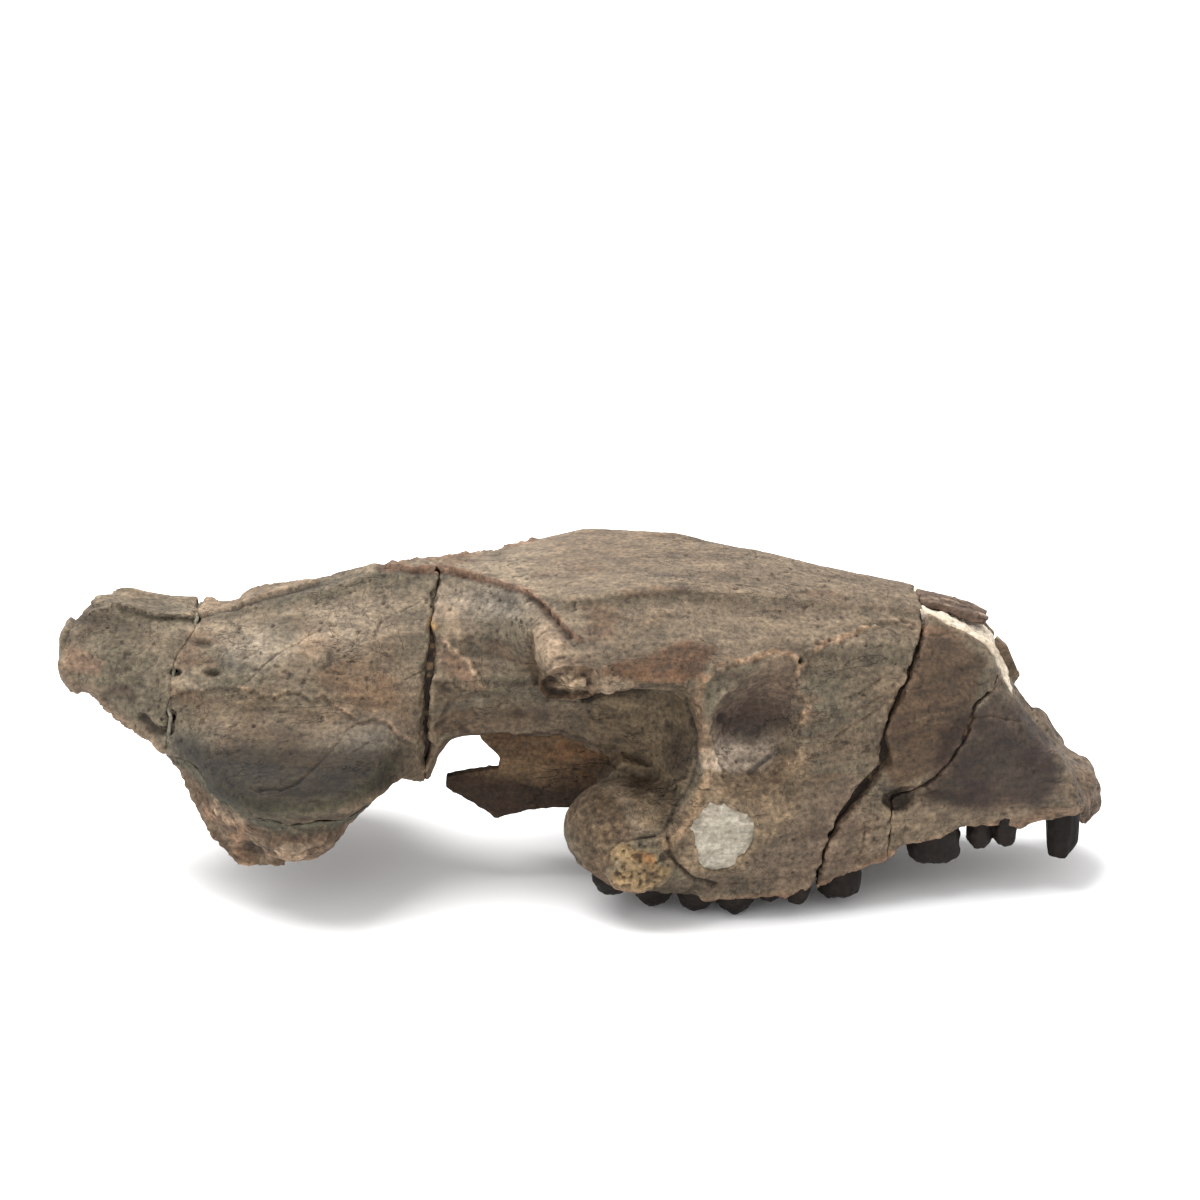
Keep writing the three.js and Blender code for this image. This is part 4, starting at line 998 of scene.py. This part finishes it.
def roof_marks(d):
    """Top of the head: holes over the eyes, the middle suture and fine cracks."""
    p = d.p
    x, y = p[:, 0], p[:, 1]
    up = fade(d.n[:, 2], 0.75, 0.35) * fade(x, -34, -26)
    flat = np.stack([x, y, 0 * x], 1).astype(F)
    waver = 0.35 * noise(flat, 2.4, 3) + 0.6 * noise(flat, 7, 1)
    d.paint((0.335, 0.27, 0.205), 0.6 * up * fade(fbm(p, (24, 7, 7), 3, 4), -0.6, 0.4))
    d.paint((0.21, 0.185, 0.145), 0.5 * up * fade(fbm(p, (18, 14, 9), 3, 1), 0.0, 0.5))
    middle = fade(np.abs(y + waver), 0.12, 0.5) * up * fade(x, 68, 64)
    d.mark(middle, -0.3, (0.40, 0.32, 0.24), 0.6)
    for hy in (11, -11):
        eye = np.hypot((x - 5.1) / 1.7, (y - hy) / 0.85)
        d.height -= 1.2 * fade(eye, 0.4, 1.2) * up
        d.paint((0.045, 0.03, 0.022), 0.95 * fade(eye, 0.85, 1.25) * up)
        groove = line_gap(x, y + waver, [(7, hy), (14, hy), (24, hy * 0.97), (36, hy * 0.8)])[0]
        d.height -= 0.16 * fade(groove, 0.2, 0.9) * up
        d.paint((0.40, 0.35, 0.28), 0.4 * fade(groove, 0.2, 0.8) * up)
    for points in ([(-3, 22), (0, 14), (1, 7)], [(-6, 12), (1, 9), (8, 12)],
            [(12, 20), (22, 18), (32, 16), (40, 13)], [(-24, 2), (-14, 3), (-3, 2)],
            [(40, 2), (52, 3), (66, 4)], [(28, 9), (36, 11), (47, 10)], [(-16, -9), (-9, -2), (-4, 3)],
            [(20, -22), (25, -15), (28, -12)]):
        for sign in (1, -1):
            crack = line_gap(x, sign * y + waver, points)[0]
            d.height -= 0.22 * fade(crack, 0.1, 0.5) * up
            d.paint((0.40, 0.32, 0.24), 0.55 * fade(crack, 0.15, 0.5) * up)


def bone_marks(p, n, name):
    """Height to add along the normal, the colour and the finish of the bone at points p with normals n."""
    x = p[:, 0]
    broad = fbm(p, (46, 40, 30), 3, 1)
    blotch = fbm(p, (13, 12, 9), 3, 2)
    fine = fbm(p, (3.2, 3.0, 2.4), 3, 3)
    streak = fbm(p, (20, 5, 2.2), 3, 4)
    upward = np.clip(n[:, 2], 0, 1)
    height = 0.30 * blotch + 0.15 * fine + 0.10 * streak + 0.16 * ridged(p, (3.2, 2.6, 2.0), 2, 1)
    tint = mixed(plain((0.205, 0.163, 0.119), p), (0.155, 0.142, 0.108),
        fade(broad + 0.5 * blotch, 0.3, -0.3))
    # Paler on faces that look up: painted top light, broken up by blotchy and streaky tone.
    tint = mixed(tint, (0.30, 0.255, 0.20), 0.7 * fade(upward + 0.4 * blotch + 0.2 * streak, 0.9, 0.3))
    tint = mixed(tint, (0.19, 0.11, 0.066), 0.45 * fade(blotch - 0.6 * streak, 0.7, 0.2))
    # Painted shade: faces that look down are darkened.
    below = fade(n[:, 2], -0.75, -0.15)
    tint = mixed(tint, (0.125, 0.098, 0.072), 0.7 * below)
    d = Skin(p, n, height, tint)
    if name in ("nuchal_crest", "braincase"):
        cranial_marks(d)
    if name in ("braincase", "orbits_and_cheeks"):
        temple_marks(d)
    if name == "orbits_and_cheeks":
        roof_marks(d)
    if name in ("orbits_and_cheeks", "muzzle"):
        eye_and_cheek_marks(d)
    if name in ("orbits_and_cheeks", "muzzle", "snout_tip"):
        snout_marks(d)
    if name == "braincase":
        # Painted shade: the lower part of the braincase's side is darkened strongly.
        low = d.area([(176, 742), (250, 738), (330, 742), (400, 752), (392, 790), (330, 812), (260, 818),
            (200, 800)], 16)
        d.shade(low, (0.255, 0.245, 0.218))
    if name in ("orbits_and_cheeks", "muzzle"):
        # Painted shade: faces that look up are darkened from the temples forward.
        d.shade(fade(n[:, 2], 0.75, 0.3) * fade(x, 0, -14), (0.80, 0.775, 0.755))
        brow = d.area([(590, 672), (612, 664), (650, 654), (690, 640), (716, 648), (702, 676), (680, 683),
            (640, 684)], 6)
        d.shade(brow, (0.50, 0.38, 0.30))
    if name in ("muzzle", "snout_tip"):
        plum = d.area([(940, 730), (992, 696), (1030, 712), (1052, 745), (1062, 790), (1040, 806), (985, 812),
            (925, 800)], 9)
        d.shade(plum, (0.38, 0.32, 0.325))
    crackle = ridged(p, (12, 10, 8), 2, 4)
    hair = fade(crackle, 0.985, 0.955) * fade(noise(p, 16, 2), 0.1, -0.3)
    d.mark(hair, -0.25, (0.07, 0.05, 0.036), 0.55)
    pores = fade(noise(p, 0.95, 0), 0.8, 0.6) * fade(noise(p, 14, 6), 0.1, -0.3)
    d.mark(pores, -0.22, (0.07, 0.052, 0.038), 0.6)
    d.height += below * 0.4 * noise(p, 2.1, 5)
    grit = 0.34 * fine + 0.30 * streak + 0.13 * noise(p, 1.1, 6)
    tint = d.tint * np.clip(1 + grit, 0.35, 1.8)[:, None] * BONE_TONE[None, :]
    front = fade(x, 90, 66)
    gloss = 0.66 - 0.16 * front + 0.08 * fine + 0.1 * below
    return d.height, tint, gloss


def broken_marks(p, n, name):
    """The torn spongy bone of the cheek arches' roots and the thin wings."""
    blotch = fbm(p, (8, 8, 6), 3, 2)
    lump = fbm(p, (5.5, 3.6, 4.2), 4, 5)
    grain = noise(p, 1.0, 6)
    tint = mixed(plain((0.085, 0.056, 0.036), p), (0.15, 0.108, 0.07),
        fade(blotch, 0.7, -0.2))
    tint = mixed(tint, (0.19, 0.105, 0.06), 0.7 * fade(lump, 0.6, 0.1))
    tint = mixed(tint, (0.26, 0.195, 0.13), 0.5 * fade(lump - blotch, 0.8, 0.3))
    is_root = name.startswith("arch")
    holes = fade(noise(p, 2.3, 1) + 0.5 * grain, 0.85, 0.4)
    height = (0.9 * lump + 0.2 * grain - 0.3 * holes) * (1.0 if is_root else 0.35)
    # Painted shade in the spongy holes: they are darkened towards the near-black of the deepest holes, less
    # on the wings.
    tint = mixed(tint, HOLE_SHADE, 0.6 * holes * (1.0 if is_root else 0.4))
    if is_root:
        # Painted shadow: a near-black band along the top of each root, just under the bone above it.
        under = arch_root_top(p[:, 0]) - p[:, 2] + 1.6 * lump
        tint = mixed(tint, (0.045, 0.044, 0.030), 0.85 * fade(under, 0.4, 3.4))
        height = height * fade(under, 2.6, 0.2) + 0.1 * grain
        # Painted shadow: a hollow in the right root is sunk and filled with the near-black of the deepest
        # holes.
        hollow = np.hypot((p[:, 0] + 64.6) / 3.6, (p[:, 2] - 14) / 3.4)
        height -= 1.6 * fade(hollow, 0.2, 1.1) * (p[:, 1] < 0)
        tint = mixed(tint, HOLE_SHADE, 0.85 * fade(hollow, 0.4, 1.1) * (p[:, 1] < 0))
    else:
        u = p[:, 0] + 0.5 * lump
        tint = mixed(tint, (0.030, 0.020, 0.015), 0.95 * fade(p[:, 2] + 0.15 * (u + 15), 21, 26))
        tint = shaded(tint, np.ones(len(p), F), (0.72, 0.62, 0.5))
    return height, tint, 0.8 + 0.1 * grain


def rock_marks(p, n, name):
    """The pale rock: cream in the nasal opening, duller in the cheek."""
    lump = fbm(p, (3.6, 3.6, 3), 3, 5)
    grain = noise(p, 0.9, 6)
    stain = fbm(p, (7, 7, 5), 2, 2)
    base, dull = ((0.335, 0.30, 0.24), (0.26, 0.225, 0.17)) if name == "cheek_matrix" else \
        ((0.56, 0.485, 0.385), (0.36, 0.28, 0.20))
    tint = mixed(plain(base, p), dull, 0.7 * fade(stain, 0.7, 0))
    amount = 0.4
    if name == "nasal_matrix":
        amount = 0.55
        margin = NASAL_HALF - np.abs(p[:, 1]) + 1.3 * stain
        tint = mixed(tint, (0.25, 0.19, 0.13), 0.5 * fade(margin, 0.4, 2.2) * fade(n[:, 2], 0.7, 0.3))
    tint = tint * (1 + 0.1 * lump + 0.08 * grain)[:, None]
    return amount * (lump + 0.35 * grain), tint, 0.9 + 0 * grain


# Materials


def fossil_material(name, grain, bump, sheen=0.5, contrast=0.42, crackle=0.0):
    """Colour and roughness come from the mesh; grain, streaks and hair lines are added in the shader."""
    mat = bpy.data.materials.new(name)
    mat.use_nodes = True
    nodes, links = mat.node_tree.nodes, mat.node_tree.links
    shader = nodes["Principled BSDF"]
    shader.inputs["Specular IOR Level"].default_value = sheen
    tint = nodes.new("ShaderNodeAttribute")
    tint.attribute_name = "tint"
    place = nodes.new("ShaderNodeTexCoord").outputs["Object"]

    def grains(size, detail, roughness, where):
        node = nodes.new("ShaderNodeTexNoise")
        for key, value in (("Scale", size), ("Detail", detail), ("Roughness", roughness)):
            node.inputs[key].default_value = value
        links.new(where, node.inputs["Vector"])
        return node.outputs["Fac"]

    def ramp(value, low, high, to_low, to_high):
        node = nodes.new("ShaderNodeMapRange")
        for key, number in (("From Min", low), ("From Max", high), ("To Min", to_low), ("To Max", to_high)):
            node.inputs[key].default_value = number
        links.new(value, node.inputs["Value"])
        return node.outputs["Result"]

    def sums(operation, first, *others):
        node = nodes.new("ShaderNodeMath")
        node.operation = operation
        for slot, value in enumerate((first,) + others):
            if isinstance(value, (int, float)):
                node.inputs[slot].default_value = value
            else:
                links.new(value, node.inputs[slot])
        return node.outputs["Value"]

    along = nodes.new("ShaderNodeMapping")
    along.inputs["Scale"].default_value = (0.3, 1, 1.4)
    links.new(place, along.inputs["Vector"])
    specks = grains(grain, 5, 0.65, place)
    streaks = grains(0.45 * grain, 6, 0.7, along.outputs["Vector"])
    light = sums("MULTIPLY", ramp(specks, 0.3, 0.7, 1 - contrast, 1 + contrast),
                 ramp(streaks, 0.32, 0.68, 0.7, 1.3))
    relief = sums("ADD", specks, sums("MULTIPLY", streaks, 0.8))
    if crackle:
        ridge = sums("ABSOLUTE", sums("SUBTRACT", grains(230, 3, 0.55, place), 0.5))
        hair_place = ramp(grains(42, 2, 0.5, place), 0.48, 0.6, 0, 1)
        hair = sums("MULTIPLY", ramp(ridge, 0.0, 0.010, 1, 0), hair_place)
        light = sums("MULTIPLY_ADD", hair, crackle, light)
        cut = sums("ABSOLUTE", sums("SUBTRACT", grains(150, 4, 0.6, along.outputs["Vector"]), 0.47))
        dark_place = ramp(grains(55, 2, 0.5, place), 0.52, 0.42, 0, 1)
        dark = sums("MULTIPLY", ramp(cut, 0.0, 0.008, 1, 0), dark_place)
        light = sums("MULTIPLY_ADD", dark, -0.5 * crackle, light)
        relief = sums("SUBTRACT", relief, sums("MAXIMUM", hair, dark))
    product = nodes.new("ShaderNodeVectorMath")
    product.operation = "SCALE"
    links.new(tint.outputs["Color"], product.inputs[0])
    links.new(light, product.inputs["Scale"])
    links.new(product.outputs["Vector"], shader.inputs["Base Color"])
    links.new(sums("MULTIPLY_ADD", specks, 0.25, tint.outputs["Alpha"]), shader.inputs["Roughness"])
    rise = nodes.new("ShaderNodeBump")
    rise.inputs["Strength"].default_value = bump
    rise.inputs["Distance"].default_value = 0.0004
    links.new(relief, rise.inputs["Height"])
    links.new(rise.outputs["Normal"], shader.inputs["Normal"])
    return mat


def make_mesh(name, points, quads, tint, gloss, material):
    """A smooth-shaded object in metres; the tint's alpha holds the roughness."""
    mesh = bpy.data.meshes.new(name)
    place = (points - SHIFT) * 0.001
    mesh.vertices.add(len(place))
    mesh.vertices.foreach_set("co", place.astype(F).ravel())
    mesh.loops.add(quads.size)
    mesh.loops.foreach_set("vertex_index", quads.astype(np.int32).ravel())
    mesh.polygons.add(len(quads))
    mesh.polygons.foreach_set("loop_start", np.arange(0, quads.size, quads.shape[1], dtype=np.int32))
    mesh.polygons.foreach_set("use_smooth", np.ones(len(quads), bool))
    mesh.update(calc_edges=True)
    colour = mesh.color_attributes.new("tint", "FLOAT_COLOR", "POINT")
    shade = np.concatenate([np.clip(tint, 0.004, 0.9), np.clip(gloss, 0.05, 0.95)[:, None]], 1)
    colour.data.foreach_set("color", shade.astype(F).ravel())
    mesh.materials.append(material)
    piece = bpy.data.objects.new(name, mesh)
    bpy.context.scene.collection.objects.link(piece)
    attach(piece, "root")
    return piece


bone_finish = fossil_material("bone_surface", 1100, 0.9, 0.3, 0.55, 0.7)
rock_finish = fossil_material("rock_surface", 1300, 0.9, 0.3, 0.3)
tooth_finish = fossil_material("tooth_surface", 700, 0.35, 0.1, 0.3)


def build_piece(node, field, xs, ys, zs, marks, material):
    """Meshes a field, moves its points by the marks, and shows the mesh in place of its node's part, which it
    hides.
    """
    points, quads, normals = skin_of(field, xs, ys, zs)
    soft = normals
    for _ in range(3):
        soft = neighbour_mean(soft, quads)
    soft = soft / np.maximum(np.linalg.norm(soft, axis=1, keepdims=True), 1e-6)
    height, tint, gloss = marks(points, soft.astype(F), node)
    on_floor = np.clip(points[:, 2] / 0.8, 0, 1)
    moved = points + normals * (height * on_floor)[:, None]
    moved[:, 2] = np.maximum(moved[:, 2], 0)
    moved = np.clip(moved, WHOLE_LOW, WHOLE_HIGH)
    # Painted shade in creases and hollows and painted highlight on ridges: the colour is darkened where the
    # surface is sunk and lightened where it stands out.
    creases = hollowness(moved, normals, quads, 6)
    deep = hollowness(moved, normals, quads, 30)
    tint = tint * np.clip(1 - 0.9 * np.clip(creases, -0.15, 0.4), 0.5, 1.2)[:, None]
    tint = tint * np.clip(1 - 0.25 * np.clip(deep, -0.6, 1.4), 0.6, 1.15)[:, None]
    piece = make_mesh(node + "_surface", moved, quads, tint, gloss, material)
    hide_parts(node)
    return piece


def grid_of(node, margin=1.8, step=STEP):
    """Grid lines over a CAD node's box."""
    low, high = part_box(node)
    low, high = np.array(low) * 1000 + SHIFT - margin, np.array(high) * 1000 + SHIFT + margin
    return [axis(a, b, step) for a, b in zip(low, high)]


def ragged(field, xs, ys, zs, amount, size, seed):
    """Roughens a field's surface."""
    near = np.abs(field) < 2.5
    out = field.copy()
    out[near] += (amount * fbm(grid_points(xs, ys, zs, near), size, 3, seed)).astype(F)
    return out


def main_pieces():
    """The five lengths of the cranium, cut at the breaks, and the arch roots cut from the second."""
    for node, bounds in (("nuchal_crest", [("nuchal", -1)]), ("braincase", [("nuchal", 1), ("brain", -1)]),
                         ("orbits_and_cheeks", [("brain", 1), ("face", -1)]),
                         ("muzzle", [("face", 1), ("snout", -1)]), ("snout_tip", [("snout", 1)])):
        xs, ys, zs = grid_of(node)
        field = whole_bone(xs, ys, zs)
        if xs[-1] > NASAL_BREAK:
            field = smooth_max(field, -plate(window_outline, xs, ys, zs, -NASAL_HALF, NASAL_HALF), 0.3)
        if node == "orbits_and_cheeks":
            hole = patch_gap(xs[:, None], zs[None, :]).astype(F)[:, None, :] + 0 * field
            hole = ragged(np.maximum(hole, ys[None, :, None].astype(F) + 24), xs, ys, zs, 0.5, 2, 4)
            field = smooth_max(field, -hole, 0.4)
        for name, side in bounds:
            field = cut_break(field, xs, ys, zs, name, side)
        if node == "braincase":
            top = np.asarray(arch_root_top(xs), F)[:, None, None]
            x, y, z = planes(xs, ys, zs)
            root = np.maximum(z - top, ARCH_ROOT_HALF - np.abs(y))
            root = np.maximum(root, x + 36)
            root = ragged(root, xs, ys, zs, 1.0, (5, 5, 2.4), 2)
            for word, side in SIDES:
                own = np.maximum(np.maximum(field - 0.1, root), -side * y)
                build_piece("arch_root_" + word, own, xs, ys, zs, broken_marks, bone_finish)
            field = smooth_max(field, -(root - 0.02), 0.2)
        build_piece(node, field, xs, ys, zs, bone_marks, bone_finish)


# How deep under the skin the filling sheet in each break lies.
FILL_DEPTH = dict(nuchal=0.3, brain=2.2, face=2.7, snout=1.0)


def fill_marks(p, name):
    """The colour and the finish of the sheet in a break: near-black painted shade with brown crumbs, but bone
    colours in the nuchal break.
    """
    crumbs = fbm(p, (1.6, 1.6, 1.6), 2, 4)
    base, spots = ((0.12, 0.108, 0.08), (0.19, 0.17, 0.125)) if name == "nuchal" else \
        ((0.028, 0.020, 0.015), (0.17, 0.11, 0.062))
    tint = mixed(plain(base, p), spots, 0.8 * fade(crumbs, 0.5, 0.2))
    return tint, 0.9 + 0 * crumbs


def crack_fill():
    """Sheets deep in the breaks: near-black painted shade with brown crumbs, and bone-coloured in the nuchal
    break.
    """
    for name in breaks:
        reach = [x for _, x in breaks[name][0]]
        low, high = min(reach), max(reach)
        xs, ys, zs = axis(low - 2, min(high, 84) + 2, STEP), axis(-39, 39, STEP), axis(-1, 68, STEP)
        skin = whole_bone(xs, ys, zs) + F(FILL_DEPTH[name])
        if xs[-1] > NASAL_BREAK:
            skin = np.maximum(skin, -plate(window_outline, xs, ys, zs, -NASAL_HALF - 1, NASAL_HALF + 1))
        near = skin < 1.5
        points = grid_points(xs, ys, zs, near)
        gap, gape = break_gap(name, points)
        slab = np.full(skin.shape, 5, F)
        slab[near] = np.abs(gap) - gape - 0.35
        points, quads = largest_part(*surface_net(np.maximum(skin, slab), xs, ys, zs))
        tint, gloss = fill_marks(points, name)
        piece = make_mesh("crack_fill_" + name, np.maximum(points, WHOLE_LOW), quads, tint, gloss,
            rock_finish)


def small_pieces():
    """The thin wings, and the rock and the splinter in and on the bone."""
    fine = 0.28
    for word, side in SIDES:
        node = "pterygoid_wing_" + word
        xs, ys, zs = grid_of(node, 1.2, fine)
        low = side * WING_HALF if side > 0 else -WING_HALF - WING_THICK
        wing = plate(wing_outline, xs, ys, zs, low, low + WING_THICK)
        if side == LEFT:
            end = LEFT_WING_END
            wing = np.maximum(wing, -plate([(-40, 0), (end, 0), (end + 2, 24), (end - 3, 27), (end - 2, 40),
                                            (-40, 40)], xs, ys, zs, 0, 60))
        wing = ragged(wing, xs, ys, zs, 0.45, (4, 3, 4), 1)
        build_piece(node, wing, xs, ys, zs, broken_marks, bone_finish)
    xs, ys, zs = grid_of("nasal_matrix", 1.2, fine)
    rock = plate(matrix_outline, xs, ys, zs, -NASAL_HALF + 0.3, NASAL_HALF - 0.3)
    build_piece("nasal_matrix", ragged(rock, xs, ys, zs, 0.7, (6, 5, 4), 3), xs, ys, zs, rock_marks,
                rock_finish)
    xs, ys, zs = grid_of("nasal_strip", 1.2, fine)
    strip = plate(strip_outline, xs, ys, zs, -3.4, 3.0)
    build_piece("nasal_strip", ragged(strip, xs, ys, zs, 0.7, (5, 2, 2), 3), xs, ys, zs, strip_marks,
                bone_finish)
    xs, ys, zs = grid_of("cheek_matrix", 1.2, fine)
    y = planes(xs, ys, zs)[1]
    skin = whole_bone(xs, ys, zs) + 0.45
    rock = np.maximum(patch_gap(xs[:, None], zs[None, :]).astype(F)[:, None, :] - 0.7, y + 24.3)
    rock = np.maximum(skin, rock)
    build_piece("cheek_matrix", ragged(rock, xs, ys, zs, 0.5, (2, 2, 2), 3), xs, ys, zs, rock_marks,
                rock_finish)


def strip_marks(p, n, name):
    """The splinter of bone on the nasal rock."""
    grain = fbm(p, (9, 1.3, 1.1), 3, 2)
    tint = mixed(plain((0.075, 0.048, 0.034), p), (0.30, 0.22, 0.15),
                 0.7 * fade(grain, 0.7, 0) * fade(n[:, 2], 0.9, 0.2))
    return 0.3 * grain, tint, 0.6 + 0 * grain


# Teeth

cheek_teeth = [  # middle, length, width, tip, height of its socket, outer face, cusps, rear cusp's wear
    (10.2, 16.0, 14.0, 1.6, 7.0, 28.0, 2, 2.6), (26.4, 15.4, 14.6, 0.0, 5.0, 28.5, 2, 0.9),
    (39.6, 11.0, 13.0, 1.9, 4.6, 27.2, 2, 0.6), (51.2, 8.4, 10.4, 1.9, 7.6, 24.4, 1, 0),
    (70.4, 10.0, 7.4, 7.3, 13.6, 19.0, 1, 0), (82.2, 9.9, 6.4, 10.4, 16.4, 16.6, 2, -0.6),
]
SUNK = 4
CANINE_X, CANINE_Y = 96.0, 12.8
CANINE_TIP, CANINE_SOCKET = 7.4, 18
canine_chip = [(96.6, 5), (110, 5), (110, 16), (99.6, 10.6), (97.2, 7.8)]
pointed = curve_through([(0, 0.8), (0.5, 1), (0.82, 0.72), (1, 0.36)])
blunt = curve_through([(0, 0.8), (0.5, 1), (0.84, 0.94), (1, 0.66)])


def cusp(x, y, z, cx, cy, tip, socket, length, across, profile):
    """A worn cusp that narrows from its socket down to a flattened tip."""
    share = np.clip((socket + SUNK - z) / (socket + SUNK - tip), 0, 1)
    swell = np.asarray(profile(share), F)
    round_ = (np.hypot((x - cx) / (length / 2), (y - cy) / (across / 2)) - swell) * min(length, across) / 2
    return smooth_max(round_, tip - z, 0.7)


def tooth_marks(p, name):
    """Dark enamel with fine upright lines."""
    stain = fbm(p, (5, 5, 7), 3, 2)
    lines = fbm(p, (1.1, 1.1, 9), 2, 4)
    tint = mixed(plain((0.016, 0.011, 0.009), p), (0.042, 0.028, 0.020),
                 0.8 * fade(stain, 0.8, 0.0))
    tint = mixed(tint, (0.010, 0.008, 0.007), 0.8 * fade(lines + stain, -0.1, -0.7))
    if name.startswith("canine"):
        tint = 0.6 * tint
    return 0.16 * lines + 0.3 * stain, tint, 0.42 + 0.12 * stain


def tooth_piece(name, field, xs, ys, zs):
    points, quads, normals = skin_of(field, xs, ys, zs)
    height, tint, gloss = tooth_marks(points, name)
    moved = points + normals * (height * np.clip(points[:, 2] / 0.8, 0, 1))[:, None]
    moved = np.clip(moved, WHOLE_LOW, WHOLE_HIGH)
    # Painted shade in the hollows of the teeth and painted highlight on their ridges.
    deep = hollowness(moved, normals, quads, 10)
    tint = tint * np.clip(1 - 0.8 * np.clip(deep, -0.3, 0.7), 0.4, 1.3)[:, None]
    make_mesh(name, moved, quads, tint, gloss, tooth_finish)


def teeth():
    """Six cheek teeth and a canine on each side, over the fused ones of the solids."""
    step = 0.22
    for word, side in SIDES:
        for k, (x0, length, across, tip, socket, outer, cusps, rear) in enumerate(cheek_teeth):
            molar = k < 3
            wide = across * 0.56 if molar else across
            each = length / cusps * 1.08
            top = socket + 2.5
            xs, zs = axis(x0 - length * 0.6, x0 + length * 0.6, step), axis(tip - 0.6, top, step)
            low, high = outer - across - 1, outer + 1
            ys = axis(side * low, side * high, step) if side > 0 else axis(-high, -low, step)
            x, y, z = planes(xs, ys, zs)
            crown = None
            for row, share in enumerate((0.27, 0.73) if molar else (0.5,)):
                for i in range(cusps):
                    cx = x0 + (i + 0.5 - cusps / 2) * length / cusps
                    cy = side * (outer - across * share)
                    worn = row * 1.4 + (rear if i == 0 else 0)
                    one = cusp(x, y, z, cx, cy, tip + worn, socket, each, wide, pointed if molar else blunt)
                    crown = one if crown is None else smooth_min(crown, one, 0.9)
            crown = ragged(crown, xs, ys, zs, 0.5, (2.6, 2.6, 3.2), k)
            crown = np.maximum(crown, z - (top - 0.6))
            tooth_piece(("molar_" if molar else "premolar_") + word + "_" + str(k + 1), crown, xs, ys, zs)
        xs, zs = axis(91, 101, step), axis(6.6, 20, step)
        ys = axis(side * 8, side * 19, step) if side > 0 else axis(-19, -8, step)
        x, y, z = planes(xs, ys, zs)
        down = np.clip((CANINE_SOCKET - z) / 10.8, 0, 1)
        middle = CANINE_X + 0.5 * down
        narrowed = 1.0 - 0.26 * down ** 1.5
        tusk = (np.hypot((x - middle) / 3.5, (y - side * CANINE_Y) / 3.1) - narrowed) * 3.1
        tusk = ragged(tusk, xs, ys, zs, 0.35, (2.2, 2.2, 5), 2)
        tusk = smooth_max(tusk, CANINE_TIP - z, 0.4)
        chip = polygon(xs[:, None], zs[None, :], canine_chip).astype(F)[:, None, :]
        tusk = np.maximum(smooth_max(tusk, -chip, 0.4), z - (CANINE_SOCKET + 1.4))
        tooth_piece("canine_" + word, tusk, xs, ys, zs)


main_pieces()
crack_fill()
small_pieces()
teeth()

# Studio: a pale floor, a white room and two soft lamps

floor_mesh = bpy.data.meshes.new("floor")
floor_mesh.from_pydata([(-4, -4, 0), (4, -4, 0), (4, 4, 0), (-4, 4, 0)], [], [(0, 1, 2, 3)])
floor = bpy.data.objects.new("floor", floor_mesh)
bpy.context.scene.collection.objects.link(floor)
paper = bpy.data.materials.new("paper")
paper.use_nodes = True
paper.node_tree.nodes["Principled BSDF"].inputs["Base Color"].default_value = (0.9, 0.9, 0.9, 1)
paper.node_tree.nodes["Principled BSDF"].inputs["Roughness"].default_value = 0.9
floor_mesh.materials.append(paper)

world = bpy.data.worlds.new("room")
bpy.context.scene.world = world
world.use_nodes = True
world.node_tree.nodes["Background"].inputs["Color"].default_value = (1, 1, 1, 1)
world.node_tree.nodes["Background"].inputs["Strength"].default_value = 1.12

for name, place, watts, size in (("key", (-0.22, 0.08, 0.8), 13.5, 0.7),
        ("fill", (-0.55, -0.8, 0.35), 1.8, 0.6)):
    lamp = bpy.data.lights.new(name, "AREA")
    lamp.energy = watts
    lamp.size = size
    stand = bpy.data.objects.new(name, lamp)
    bpy.context.scene.collection.objects.link(stand)
    stand.location = place
    stand.rotation_euler = (Vector((0, 0, 0.03)) - Vector(place)).to_track_quat("-Z", "Y").to_euler()

eye = bpy.data.cameras.new("photo_view")
camera = bpy.data.objects.new("photo_view", eye)
bpy.context.scene.collection.objects.link(camera)
bpy.context.scene.camera = camera
look = Vector((0.0031, 0, 0.0573))
camera.location = look + Vector((0, -math.cos(VIEW_RISE), math.sin(VIEW_RISE))) * (VIEW_DISTANCE * 0.001)
camera.rotation_euler = (look - camera.location).to_track_quat("-Z", "Y").to_euler()
eye.sensor_width = 36
eye.lens = 97.5
eye.clip_start = 0.01
bpy.context.scene.view_settings.view_transform = "Standard"
